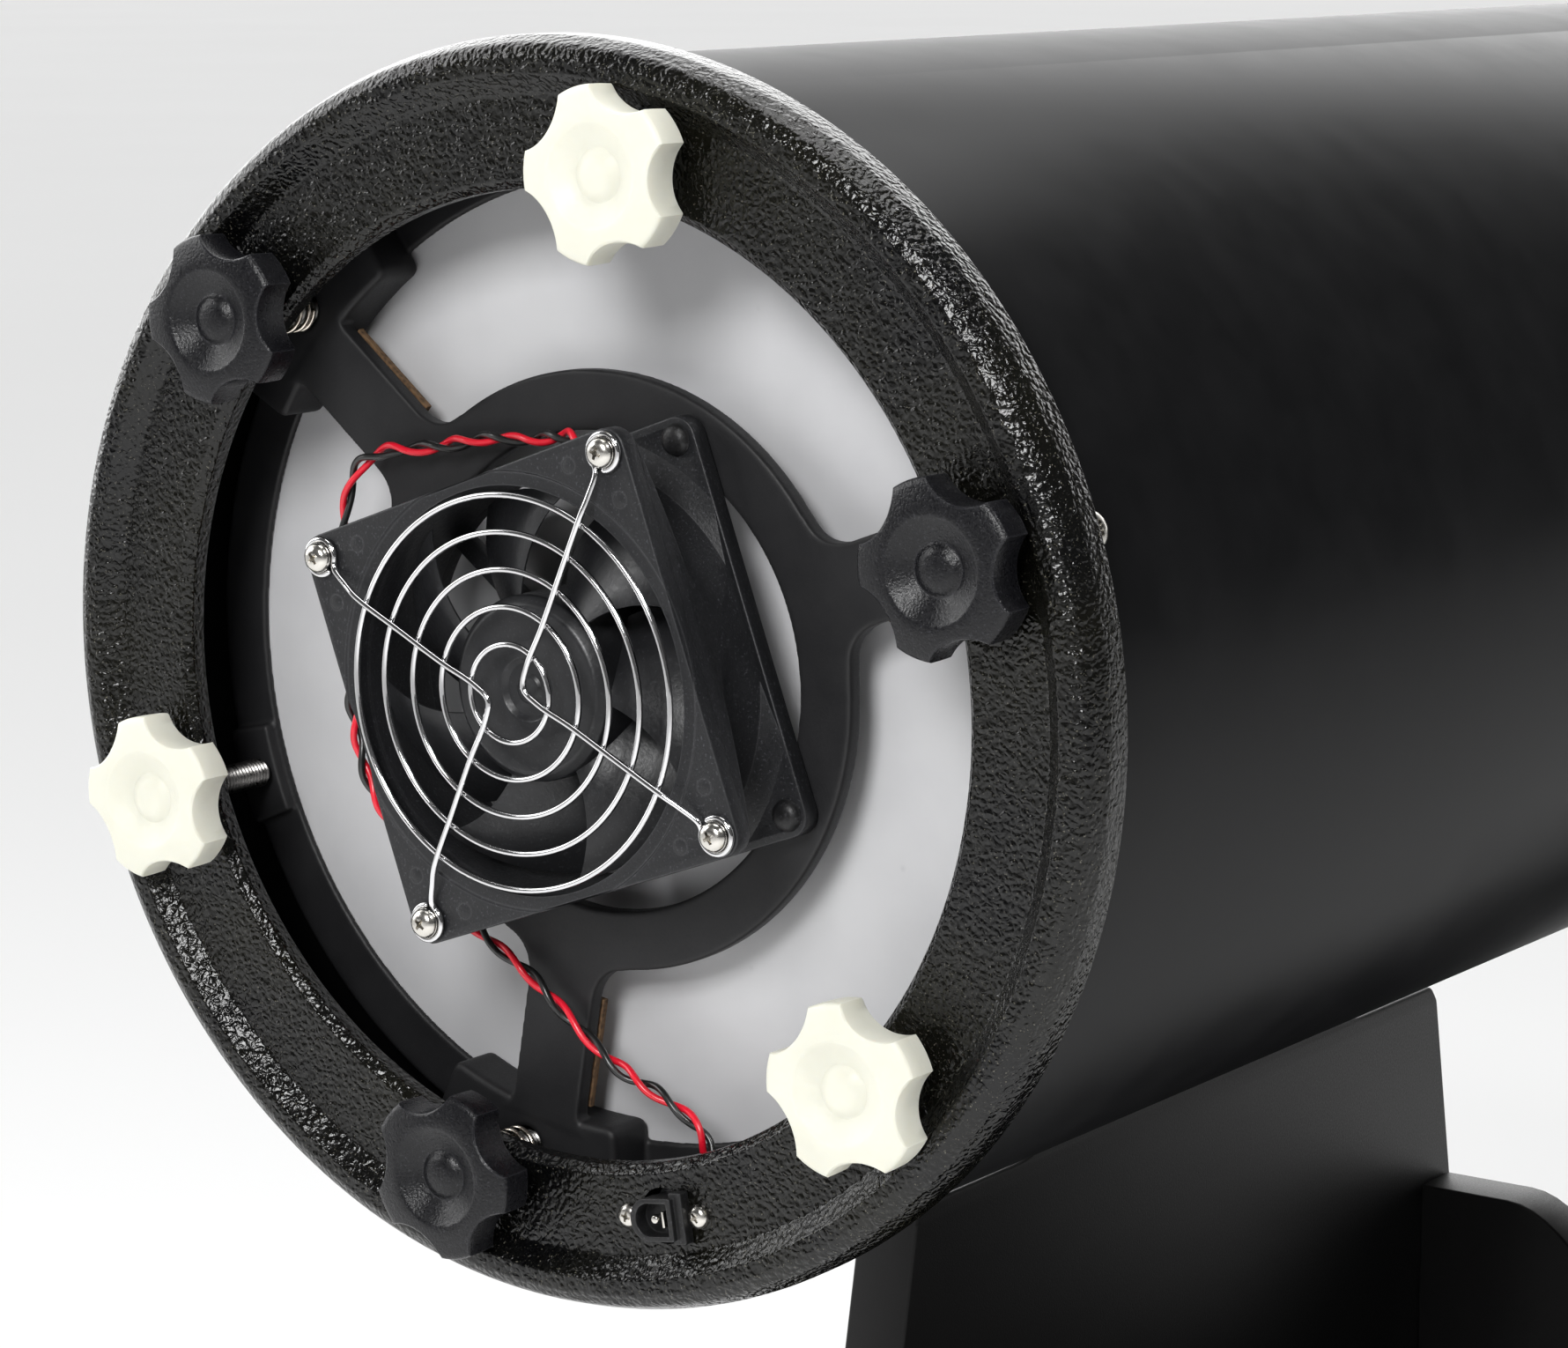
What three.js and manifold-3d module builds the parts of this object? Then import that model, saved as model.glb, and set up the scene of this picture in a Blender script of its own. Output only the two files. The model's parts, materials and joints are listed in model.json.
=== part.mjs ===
// Newtonian reflector telescope on a rocker-box (Dobsonian) mount.
// Millimetres, +Z up, tube lying level with its open end towards +Y.
import * as THREE from 'three';
import { mergeVertices } from 'three/addons/utils/BufferGeometryUtils.js';
import Module from 'manifold-3d';

const wasm = await Module();
wasm.setup();

// ---------------------------------------------------------------- main sizes
const AXIS_H = 604;        // altitude axis above the floor
const TUBE_Y0 = -573.5;    // rear face of the tube assembly, from the middle of the bounding box
const ALT_Y = 489;         // altitude axis ahead of the rear face
const AZ_Y = TUBE_Y0 + ALT_Y;

const TUBE_R = 114.5, TUBE_WALL = 0.8;
const TUBE_REAR = 7.8, TUBE_FRONT = 1150, FRONT_END = 1160;

const RIM_R = 119.2, OPEN_R = 91.2, PLATE_Y = 2.4, PLATE_T = 5;
const KNOB_R = 97, CELL_ANG = 18.5, ARM_ANG = 20.6, FAN_ANG = 20.3;

const BOARD = 19;          // laminated board thickness
const INNER_X = 140;       // inner face of the side panels
const BOARD_R = 270;       // round boards
const FOOT_H = 20, GROUND_TOP = FOOT_H + BOARD, TURN_Z = GROUND_TOP + 8, TURN_TOP = TURN_Z + BOARD;

const BEAR_R = 38;         // altitude bearing
const FOC_Y = 1000;        // focuser axis along the tube

const rad = (d) => d * Math.PI / 180;
const V3 = (x, y, z) => new THREE.Vector3(x, y, z);

// ---------------------------------------------------------------- solids
function closed(geo) {
  let g = geo.clone();
  for (const a of Object.keys(g.attributes)) if (a !== 'position') g.deleteAttribute(a);
  g = mergeVertices(g, 1e-4);
  const p = g.attributes.position, ix = g.index.array, out = [];
  let vol = 0;
  const a = V3(0, 0, 0), b = V3(0, 0, 0), c = V3(0, 0, 0);
  for (let i = 0; i < ix.length; i += 3) {
    const [i0, i1, i2] = [ix[i], ix[i + 1], ix[i + 2]];
    if (i0 === i1 || i1 === i2 || i2 === i0) continue;
    a.fromBufferAttribute(p, i0); b.fromBufferAttribute(p, i1); c.fromBufferAttribute(p, i2);
    vol += a.dot(b.clone().cross(c));
    out.push(i0, i1, i2);
  }
  if (vol < 0) for (let i = 0; i < out.length; i += 3) [out[i + 1], out[i + 2]] = [out[i + 2], out[i + 1]];
  g.setIndex(out);
  return g;
}
function toM(geo) {
  const g = closed(geo);
  const mesh = new wasm.Mesh({
    numProp: 3,
    vertProperties: new Float32Array(g.attributes.position.array),
    triVerts: new Uint32Array(g.index.array),
  });
  return new wasm.Manifold(mesh);
}
function fromM(m) {
  const o = m.getMesh();
  const g = new THREE.BufferGeometry();
  const np = o.numProp, n = o.vertProperties.length / np, pos = new Float32Array(n * 3);
  for (let i = 0; i < n; i++) for (let k = 0; k < 3; k++) pos[i * 3 + k] = o.vertProperties[i * np + k];
  g.setAttribute('position', new THREE.BufferAttribute(pos, 3));
  g.setIndex(Array.from(o.triVerts));
  return g;
}
function union(...geos) { let m = toM(geos[0]); for (const g of geos.slice(1)) m = m.add(toM(g)); return fromM(m); }
function cut(geo, ...tools) { let m = toM(geo); for (const t of tools) m = m.subtract(toM(t)); return fromM(m); }
function common(geo, tool) { return fromM(toM(geo).intersect(toM(tool))); }

// profile: [radius, height] pairs turned about the Y axis
function turnY(profile, seg = 32, close = true) {
  const pts = profile.map(([r, y]) => new THREE.Vector2(r, y));
  if (close && (profile[0][0] > 0 || profile[profile.length - 1][0] > 0)) pts.push(pts[0].clone());
  return closed(new THREE.LatheGeometry(pts, seg));
}
const turnZ = (profile, seg) => turnY(profile, seg).rotateX(Math.PI / 2);
const turnX = (profile, seg) => turnY(profile, seg).rotateZ(-Math.PI / 2);
const discY = (r, y0, y1, seg = 24) => turnY([[0, y0], [r, y0], [r, y1], [0, y1]], seg);
const discZ = (r, z0, z1, seg = 24) => discY(r, z0, z1, seg).rotateX(Math.PI / 2);
const discX = (r, x0, x1, seg = 24) => discY(r, x0, x1, seg).rotateZ(-Math.PI / 2);
function box(x0, x1, y0, y1, z0, z1) {
  return new THREE.BoxGeometry(x1 - x0, y1 - y0, z1 - z0).translate((x0 + x1) / 2, (y0 + y1) / 2, (z0 + z1) / 2);
}
const BASIS_X = new THREE.Matrix4().makeBasis(V3(0, 1, 0), V3(0, 0, 1), V3(1, 0, 0));
const BASIS_Y = new THREE.Matrix4().makeBasis(V3(1, 0, 0), V3(0, 0, 1), V3(0, -1, 0));
function platX(pts, x0, x1) {  // outline in (y, z), thickness along X
  const s = new THREE.Shape(pts.map(([a, b]) => new THREE.Vector2(a, b)));
  return new THREE.ExtrudeGeometry(s, { depth: x1 - x0, bevelEnabled: false }).applyMatrix4(BASIS_X).translate(x0, 0, 0);
}
function platY(pts, y0, y1) {  // outline in (x, z), thickness along Y
  const s = new THREE.Shape(pts.map(([a, b]) => new THREE.Vector2(a, b)));
  return new THREE.ExtrudeGeometry(s, { depth: y1 - y0, bevelEnabled: false }).applyMatrix4(BASIS_Y).translate(0, y1, 0);
}
function wire(points, r, sides, steps, curve) {
  const c = curve || new THREE.CatmullRomCurve3(points.map((p) => V3(...p)), false, 'centripetal');
  const s = new THREE.Shape();
  for (let i = 0; i < sides; i++) {
    const a = (i + 0.5) * 2 * Math.PI / sides;
    if (i) s.lineTo(r * Math.cos(a), r * Math.sin(a)); else s.moveTo(r * Math.cos(a), r * Math.sin(a));
  }
  s.closePath();
  return closed(new THREE.ExtrudeGeometry(s, { steps, extrudePath: c, bevelEnabled: false }));
}
const polar = (r, deg) => [r * Math.cos(rad(deg)), r * Math.sin(rad(deg))];
const spinY = (geo, deg) => geo.rotateY(-rad(deg));  // +deg turns +X towards +Z

// ---------------------------------------------------------------- scene graph
const group = new THREE.Group();
group.name = 'telescope';
const ota = new THREE.Group();
ota.position.set(0, TUBE_Y0, AXIS_H);
const base = new THREE.Group();
base.position.set(0, AZ_Y, 0);
group.add(ota, base);

const finish = {
  board: [0x191817, 0.62, 0], steelBlack: [0x17181a, 0.3, 0.1], hammer: [0x1b1b1c, 0.28, 0.3],
  cast: [0x2b2c2d, 0.5, 0.4], white: [0xd8d3c6, 0.45, 0], black: [0x111111, 0.4, 0], chrome: [0xd0d3d6, 0.12, 1],
  glass: [0xc9ced2, 0.3, 0], mirror: [0xe8ecef, 0.04, 1], rubber: [0x151515, 0.85, 0], nylon: [0xe6e3da, 0.5, 0],
  cable: [0x7a1512, 0.5, 0], anod: [0x202124, 0.35, 0.6], fan: [0x1a1a1b, 0.5, 0], steel: [0xa7a9ac, 0.35, 1],
};
function add(parent, name, geo, f) {
  const [c, r, m] = finish[f];
  const mesh = new THREE.Mesh(closed(geo), new THREE.MeshStandardMaterial({ color: c, roughness: r, metalness: m }));
  mesh.name = name;
  parent.add(mesh);
}

// ================================================================ optical tube
// tube, rolled sheet with the focuser hole
{
  const i = TUBE_R - TUBE_WALL;
  const g = turnY([[i, TUBE_REAR], [TUBE_R, TUBE_REAR], [TUBE_R, TUBE_FRONT], [i, TUBE_FRONT]], 48);
  add(ota, 'tube', cut(g, discZ(31, 90, 130, 24).translate(0, FOC_Y, 0)), 'steelBlack');
}
// rear end ring: proud rounded rim, recessed flat, six bolt holes, socket hole, fixing lugs
const JACK = polar(101, -75.5);
{
  const p = [[114.8, 10.6], [RIM_R, 10.6], [RIM_R, 4.2], [117.8, 0.8], [115.4, -1.0], [111.9, -1.0],
    [108.6, PLATE_Y], [92.9, PLATE_Y], [OPEN_R, 4.0], [OPEN_R, PLATE_Y + PLATE_T], [114.8, PLATE_Y + PLATE_T]];
  const parts = [turnY(p, 48)];
  for (let k = 0; k < 6; k++) parts.push(spinY(box(106.5, 112.6, 7, 21, -7, 7), CELL_ANG + 60 * k));
  const holes = [];
  for (let k = 0; k < 6; k++) {
    const [x, z] = polar(KNOB_R, CELL_ANG + 60 * k);
    holes.push(discY(3.6, -5, 12, 10).translate(x, 0, z));
  }
  holes.push(discY(5.4, -5, 12, 16).translate(JACK[0], 0, JACK[1]));
  add(ota, 'rear_ring', cut(union(...parts), ...holes), 'hammer');
}
// front end ring
add(ota, 'front_ring', turnY([[114.8, 1138], [118.5, 1138], [118.5, 1156], [116, FRONT_END], [113, FRONT_END],
  [111.6, 1157], [111.6, 1150.3], [114.8, 1150.3]], 48), 'hammer');

// DC socket on the rear ring
{
  const parts = [discY(5.0, -1.4, 10.6, 16), box(-10.5, 10.5, 0.8, 2.2, -5.2, 5.2)];
  let g = union(...parts);
  g = cut(g, discY(3.2, -10, 4, 16));
  g = union(g, discY(1.0, -0.8, 6, 8));
  g = spinY(g, -75.5 + 90).translate(JACK[0], 0, JACK[1]);
  add(ota, 'dc_socket', g, 'black');
}

// ---------------------------------------------------------------- mirror cell (moves on the collimation bolts)
const PLATE_REAR = 16.8, PLATE_FRONT = 20.6, LIP_Y = 27, GLASS_Y = 28.5;
function arcBlock(r0, r1, mid, half, y0, y1, n = 6) {
  const pts = [];
  for (let i = 0; i <= n; i++) pts.push(polar(r0, mid - half + 2 * half * i / n));
  for (let i = n; i >= 0; i--) pts.push(polar(r1, mid - half + 2 * half * i / n));
  return platY(pts, y0, y1);
}
{
  const parts = [
    turnY([[92.7, LIP_Y], [103.8, LIP_Y], [103.8, 46], [101.9, 46], [101.9, GLASS_Y - 0.3], [92.7, GLASS_Y - 0.3]], 40),
    turnY([[45.6, PLATE_REAR], [57, PLATE_REAR], [57, PLATE_FRONT], [45.6, PLATE_FRONT]], 32),
  ];
  for (let k = 0; k < 3; k++) {
    const a = ARM_ANG + 120 * k;
    parts.push(spinY(platY([[50, -12], [56, -12], [62, -8.4], [70, -7.8], [90.5, -7.8], [90.5, 7.8], [70, 7.8], [62, 8.4], [56, 12], [50, 12]], PLATE_REAR, PLATE_FRONT), a));
    parts.push(arcBlock(88.5, 103.8, CELL_ANG + 120 * k, 13, PLATE_REAR + 0.2, LIP_Y + 1));
    parts.push(arcBlock(93.6, 103.8, CELL_ANG + 60 + 120 * k, 5.5, 24.9, LIP_Y + 1, 3));
  }
  const holes = [];
  for (let k = 0; k < 3; k++) {
    const [x, z] = polar(KNOB_R, CELL_ANG + 120 * k);
    holes.push(discY(3.5, 15, 33, 10).translate(x, 0, z));
  }
  add(ota, 'mirror_cell', cut(union(...parts), ...holes), 'cast');
}
// primary mirror, ground back, concave front
add(ota, 'primary_mirror', turnY([[0, GLASS_Y], [101.3, GLASS_Y], [101.3, GLASS_Y + 24.6], [67, GLASS_Y + 23.46], [33, GLASS_Y + 22.73], [0, GLASS_Y + 22.5]], 40), 'glass');

// collimation springs
for (let k = 0; k < 3; k++) {
  const [x, z] = polar(KNOB_R, CELL_ANG + 120 * k);
  const pts = [], turns = 4, n = 40;
  for (let i = 0; i <= n; i++) {
    const t = i / n, a = turns * 2 * Math.PI * t;
    pts.push([x + 3.95 * Math.cos(a), 8.4 + 7.6 * t, z + 3.95 * Math.sin(a)]);
  }
  add(ota, `collimation_spring_${k + 1}`, wire(pts, 0.5, 4, 40), 'steel');
}
// star knobs with moulded-in studs
function starKnob(R0, depth, lobes) {
  const pts = [];
  for (let i = 0; i < lobes; i++) {
    for (const [d, r] of [[-12.8, R0], [12.8, R0], [21, R0 - 2.57], [28.5, R0 - 3.45], [36, R0 - 3.7], [43.5, R0 - 3.45], [51, R0 - 2.57]]) pts.push(polar(r, i * 360 / lobes + d));
  }
  return platY(pts, 0, depth);
}
function ringKnob(len) {
  const g = cut(starKnob(16.2, 8.6, 5), discY(9.6, -1, 2.4, 16));
  return union(g, discY(4.8, 1.1, 3.5, 10), discY(8, 8, 12.4, 16), discY(2.9, 11, 12.4 + len, 10));
}
const BLACK_TURN = [38, 40, -4], WHITE_TURN = [35, 33, 31];
for (let k = 0; k < 3; k++) {
  const [x, z] = polar(KNOB_R, CELL_ANG + 120 * k);
  add(ota, `collimation_knob_${k + 1}`, spinY(ringKnob(25.2), BLACK_TURN[k]).translate(x, -10.4, z), 'black');
  const [x2, z2] = polar(KNOB_R, CELL_ANG + 60 + 120 * k);
  add(ota, `lock_knob_${k + 1}`, spinY(ringKnob(22.4), WHITE_TURN[k]).translate(x2, -10.4, z2), 'white');
}

// ---------------------------------------------------------------- cooling fan
const FAN_REAR = -8.6, FAN_FRONT = 16.4;
{
  const sq = (h, c) => [[-h + c, -h], [h - c, -h], [h, -h + c], [h, h - c], [h - c, h], [-h + c, h], [-h, h - c], [-h, -h + c]];
  const parts = [platY(sq(40, 3), FAN_REAR, FAN_REAR + 3.8), platY(sq(40, 3), FAN_FRONT - 3.8, FAN_FRONT), discY(39.8, FAN_REAR + 1, FAN_FRONT - 1, 32)];
  let g = cut(union(...parts), discY(38.2, FAN_REAR - 5, FAN_FRONT + 5, 32));
  const more = [discY(17, 12.8, FAN_FRONT, 20)];
  for (let k = 0; k < 4; k++) more.push(box(14, 39, 13.2, 16, -2.2, 2.2).rotateY(rad(45 * 1 + 90 * k + 12)));
  g = union(g, ...more);
  const holes = [];
  for (const sx of [-1, 1]) for (const sz of [-1, 1]) holes.push(discY(2.2, FAN_REAR - 3, FAN_FRONT + 3, 8).translate(35.75 * sx, 0, 35.75 * sz));
  g = cut(g, ...holes);
  add(ota, 'fan_frame', spinY(g, FAN_ANG), 'fan');
}
{
  const parts = [turnY([[0, -4.4], [5, -4.4], [5.6, -5.4], [16.4, -5.4], [17.6, -4], [17.6, 11.5], [0, 11.5]], 24)];
  for (let k = 0; k < 7; k++) {
    const m = 4, pos = [], ring = (r, a0, a1, y0, y1, t) => {
      const u = V3(Math.cos(a1) - Math.cos(a0), 0, Math.sin(a1) - Math.sin(a0)).multiplyScalar(r); u.y = y1 - y0;
      const radial = V3(Math.cos((a0 + a1) / 2), 0, Math.sin((a0 + a1) / 2));
      const n = u.clone().cross(radial).normalize().multiplyScalar(t / 2);
      const p0 = V3(r * Math.cos(a0), y0, r * Math.sin(a0)), p1 = V3(r * Math.cos(a1), y1, r * Math.sin(a1));
      return [p0.clone().add(n), p1.clone().add(n), p1.clone().sub(n), p0.clone().sub(n)];
    };
    const c = 2 * Math.PI * k / 7;
    const secs = [ring(16.6, c - 0.24, c + 0.24, -3.2, 10, 1.8), ring(27, c - 0.17 - 0.06, c + 0.23 - 0.06, -3.2, 9.4, 1.6), ring(36.6, c - 0.12 - 0.2, c + 0.26 - 0.2, -2.6, 8.4, 1.2)];
    const tri = [];
    for (const s of secs) for (const p of s) pos.push(p.x, p.y, p.z);
    for (let s = 0; s < secs.length - 1; s++) for (let i = 0; i < m; i++) {
      const a = s * m + i, b = s * m + (i + 1) % m, d = a + m, e = b + m;
      tri.push(a, b, e, a, e, d);
    }
    const L = (secs.length - 1) * m;
    tri.push(0, 2, 1, 0, 3, 2, L, L + 1, L + 2, L, L + 2, L + 3);
    const g = new THREE.BufferGeometry();
    g.setAttribute('position', new THREE.BufferAttribute(new Float32Array(pos), 3));
    g.setIndex(tri);
    parts.push(g);
  }
  add(ota, 'fan_impeller', union(...parts), 'fan');
}
// wire guard: five rings on two bent struts, an eyelet at each corner
{
  const yr = -11.0, ys = -9.9, rings = [[9.1, 14], [16, 18], [22.9, 22], [29.8, 26], [36.6, 30]];
  const parts = rings.map(([R, n]) => turnY([[R - 0.9, yr + 0.85], [R, yr - 0.9], [R + 0.9, yr + 0.85]], n));
  const c = 35.75, e = 35.75 - 2.2;
  for (const s of [1, -1]) {
    parts.push(wire([[-s * e, ys, c * 1 - 2.2], [-s * 20, ys, 17], [-s * 5.2, ys, 2.4], [-s * 4.4, ys, 0], [-s * 5.2, ys, -2.4], [-s * 20, ys, -17], [-s * e, ys, -c + 2.2]], 0.95, 4, 12));
  }
  for (const sx of [-1, 1]) for (const sz of [-1, 1]) parts.push(turnY([[2.1, ys + 0.6], [3.0, ys - 0.9], [3.9, ys + 0.6]], 10).translate(c * sx, 0, c * sz));
  add(ota, 'fan_guard', spinY(union(...parts), FAN_ANG), 'chrome');
}
{
  let n = 1;
  for (const [sx, sz] of [[-1, 1], [1, 1], [1, -1], [-1, -1]]) {
    const g = turnY([[0, -13], [1.6, -12.8], [3.1, -12.0], [3.6, -11.1], [1.7, -11.1], [1.7, -3], [0, -3]], 8).translate(35.75 * sx, 0, 35.75 * sz);
    add(ota, `fan_screw_${n++}`, spinY(g, FAN_ANG), 'black');
  }
}
// fan cable, from the fan's top edge round its left side and down to the socket
const CABLE = [[3.5, 9.0, 43.4], [-1, 10.2, 45.0], [-4.6, 11.2, 45.0], [-12.8, 12, 43.5], [-21.2, 12.3, 43.3], [-32.2, 12.5, 41.2], [-41, 12.5, 39.7],
  [-47.6, 12.3, 38.9], [-54.2, 12, 35.6], [-57.0, 11.8, 30], [-58.3, 11.6, 22.6], [-58.5, 10.8, 12], [-57.0, 10, 2], [-55.0, 9.2, -5.8], [-53.8, 9, -14.2],
  [-51.4, 9.2, -24.4], [-46.8, 10, -32.0], [-38, 11.4, -42.5], [-25.2, 12.5, -53.2], [-14.8, 13, -59.4], [-4.6, 13.5, -67.5], [5.8, 13.5, -74.5],
  [18.0, 13.5, -79.5], [25.8, 13.8, -84.6], [27.0, 13.9, -89.6], [26.3, 13.5, -94.5], [25.3, 13.0, -97.8]];
add(ota, 'fan_cable', wire(CABLE, 1.7, 6, 56), 'cable');

// ---------------------------------------------------------------- spider, secondary
{
  const parts = [turnY([[0, 1052], [13, 1052], [15, 1054], [15, 1086], [12, 1092], [0, 1093]], 24)];
  for (let k = 0; k < 4; k++) parts.push(spinY(box(10, 113.0, 1057, 1083, -0.6, 0.6), 45 + 90 * k));
  add(ota, 'spider', union(...parts), 'hammer');
}
{
  // 45 degree cut, facing the rear and up
  const wedge = box(-60, 60, -200, 0, -60, 60).rotateX(rad(-45)).translate(0, FOC_Y + 7.4, 0);
  add(ota, 'secondary_holder', cut(discY(23.5, FOC_Y - 40, 1046, 32), wedge), 'black');
  const slab = box(-60, 60, -7, 0, -60, 60).rotateX(rad(-45)).translate(0, FOC_Y + 7.0, 0);
  add(ota, 'secondary_mirror', common(discY(25, FOC_Y - 60, FOC_Y + 60, 32), slab), 'mirror');
}

// ---------------------------------------------------------------- focuser
{
  const parts = [box(-44, 44, FOC_Y - 44, FOC_Y + 44, 96, 125), discZ(37, 120, 162, 28).translate(0, FOC_Y, 0), box(-21, 21, FOC_Y - 47, FOC_Y - 20, 124, 158)];
  let g = cut(union(...parts), discY(114.9, 900, 1100, 48), discZ(29.8, 60, 200, 28).translate(0, FOC_Y, 0), discX(3.3, -60, 60, 12).translate(0, FOC_Y - 38, 145));
  add(ota, 'focuser_body', g, 'anod');
}
add(ota, 'focuser_drawtube', turnZ([[25.6, 98], [29.3, 98], [29.3, 170], [33, 171], [33, 190], [25.6, 190]], 28).translate(0, FOC_Y, 0), 'chrome');
add(ota, 'focus_shaft', discX(2.9, -52, 52, 12).translate(0, FOC_Y - 38, 145), 'steel');
for (const [s, n] of [[-1, 'left'], [1, 'right']]) {
  let g = turnX([[3.2, 24], [8.5, 24], [8.5, 33], [17, 34], [17, 49], [16, 51], [3.2, 51]], 18);
  if (s < 0) g = g.rotateZ(Math.PI);
  add(ota, `focus_knob_${n}`, g.translate(0, FOC_Y - 38, 145), 'black');
}
add(ota, 'eyepiece', turnZ([[0, 150], [15.5, 150], [15.5, 158], [25.2, 158], [25.2, 190.4], [31.5, 190.4], [31.5, 199], [20, 200], [21.5, 207], [21.5, 226],
  [19.5, 236], [12, 237.5], [10, 234], [0, 233]], 24).translate(0, FOC_Y, 0), 'black');

// ---------------------------------------------------------------- finder (built upright, then leaned to the right)
const FIND_LEAN = 40, FIND_R = 172, FIND_Y = 905;
{
  const parts = [box(-20, 20, FIND_Y - 32, FIND_Y + 32, 104, 123), box(-11, 11, FIND_Y - 26, FIND_Y + 26, 120, 134),
    box(-9, 9, FIND_Y + 6, FIND_Y + 24, 130, FIND_R - 31), box(-9, 9, FIND_Y - 24, FIND_Y - 6, 130, FIND_R - 31),
    turnY([[31.5, FIND_Y + 6], [36, FIND_Y + 6], [36, FIND_Y + 24], [31.5, FIND_Y + 24]], 20).translate(0, 0, FIND_R),
    turnY([[31.5, FIND_Y - 24], [36, FIND_Y - 24], [36, FIND_Y - 6], [31.5, FIND_Y - 6]], 20).translate(0, 0, FIND_R)];
  const g = cut(union(...parts), discY(114.9, 800, 1000, 48), discY(31.5, 800, 1000, 20).translate(0, 0, FIND_R));
  add(ota, 'finder_bracket', g.rotateY(rad(FIND_LEAN)), 'anod');
  const s = turnY([[0, 775], [11, 771], [16, 773], [16, 790], [14, 792], [14, 806], [18, 812], [18, 838], [26.2, 852], [26.2, 955], [29, 962], [29, 1010],
    [25.5, 1010], [25.5, 1000], [0, 1000]], 20).translate(0, 0, FIND_R);
  add(ota, 'finder_scope', s.rotateY(rad(FIND_LEAN)), 'steelBlack');
}

// ---------------------------------------------------------------- altitude rails, bearings, tension knobs
for (const [s, n] of [[-1, 'left'], [1, 'right']]) {
  const flip = (g) => (s < 0 ? g.rotateZ(Math.PI).translate(0, 2 * ALT_Y, 0) : g);
  const rail = cut(box(108, 124, ALT_Y - 120, ALT_Y + 120, -19, 19), discY(114.9, 200, 800, 48));
  add(ota, `altitude_rail_${n}`, flip(rail), 'anod');
  const hub = turnX([[0, 124.3], [47, 124.3], [47, 136.5], [BEAR_R, 136.5], [BEAR_R, 162], [36, 164], [0, 164]], 32).translate(0, ALT_Y, 0);
  add(ota, `altitude_bearing_${n}`, flip(hub), 'black');
  const pts = [];
  for (let i = 0; i < 32; i++) { const a = 2 * Math.PI * i / 32, r = 23.5 + 2.5 * Math.cos(8 * a); pts.push([r * Math.cos(a), r * Math.sin(a)]); }
  const kn = union(platX(pts, 168, 186), discX(13, 164.4, 169, 16)).translate(0, ALT_Y, 0);
  add(ota, `altitude_knob_${n}`, flip(kn), 'black');
}

// ================================================================ rocker box and ground board
// ground board, three feet, pivot bolt
add(base, 'ground_board', turnZ([[5.4, FOOT_H], [BOARD_R, FOOT_H], [BOARD_R, GROUND_TOP], [5.4, GROUND_TOP]], 48), 'board');
for (let k = 0; k < 3; k++) {
  const [x, y] = polar(232, 90 + 120 * k);
  add(base, `foot_${k + 1}`, turnZ([[0, 0], [24, 0], [27, 3], [29, FOOT_H - 0.3], [0, FOOT_H - 0.3]], 16).translate(x, y, 0), 'rubber');
}
add(base, 'pivot_bolt', union(discZ(9, 12.5, FOOT_H - 0.3, 6), discZ(4.9, 18, 86, 16)), 'steel');
// roller bearing: two steel races and a cage of radial rollers
add(base, 'lower_race', turnZ([[118, GROUND_TOP + 0.3], [158, GROUND_TOP + 0.3], [158, GROUND_TOP + 1.5], [118, GROUND_TOP + 1.5]], 36), 'steel');
{
  const zc = GROUND_TOP + 4.0;
  const parts = [turnZ([[122, zc - 0.9], [154, zc - 0.9], [154, zc + 0.9], [122, zc + 0.9]], 36)];
  for (let k = 0; k < 12; k++) parts.push(discX(2.2, 127, 149, 6).translate(0, 0, zc).rotateZ(rad(30 * k)));
  add(base, 'roller_cage', union(...parts), 'nylon');
}
add(base, 'upper_race', turnZ([[118, TURN_Z - 1.5], [158, TURN_Z - 1.5], [158, TURN_Z - 0.3], [118, TURN_Z - 0.3]], 36), 'steel');
add(base, 'turntable_board', turnZ([[5.4, TURN_Z], [BOARD_R, TURN_Z], [BOARD_R, TURN_TOP], [5.4, TURN_TOP]], 48), 'board');
// azimuth tension knob on the pivot bolt
{
  const pts = [];
  for (let i = 0; i < 30; i++) { const a = 2 * Math.PI * i / 30, r = 24 + 2.5 * Math.cos(5 * a); pts.push(new THREE.Vector2(r * Math.cos(a), r * Math.sin(a))); }
  const star = new THREE.ExtrudeGeometry(new THREE.Shape(pts), { depth: 12, bevelEnabled: false }).translate(0, 0, TURN_TOP + 4);
  add(base, 'azimuth_knob', cut(union(star, discZ(14, TURN_TOP + 0.4, TURN_TOP + 5, 16)), discZ(5.4, TURN_TOP - 5, TURN_TOP + 60, 16)), 'black');
}
// side panels: flared sides, level shoulders, narrow tower with a half-round cradle
const PAN_Z0 = TURN_TOP + 0.3;
function panelOutline() {
  const H = AXIS_H, half = [];
  const sh = H - 207;
  half.push([151.5 + 0.2 * (sh - PAN_Z0), PAN_Z0], [151.8, sh - 3], [149.5, sh]);
  half.push([102, sh]);
  for (let i = 1; i < 8; i++) { const a = rad(90 * i / 8); half.push([102 - 40 * Math.sin(a), sh + 40 - 40 * Math.cos(a)]); }
  half.push([62, sh + 40], [62, H - 8]);
  for (let i = 1; i < 4; i++) { const a = rad(90 * i / 4); half.push([50 + 12 * Math.cos(a), H - 8 + 12 * Math.sin(a)]); }
  half.push([50, H + 4], [43.5, H + 4], [41.5, H + 2]);
  const cr = [];
  for (let i = 0; i <= 16; i++) { const a = rad(-180 * i / 16); cr.push([41.5 * Math.cos(a), H + 41.5 * Math.sin(a)]); }
  const left = half.map(([y, z]) => [-y, z]).reverse();
  return [...half, ...cr, ...left];
}
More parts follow.
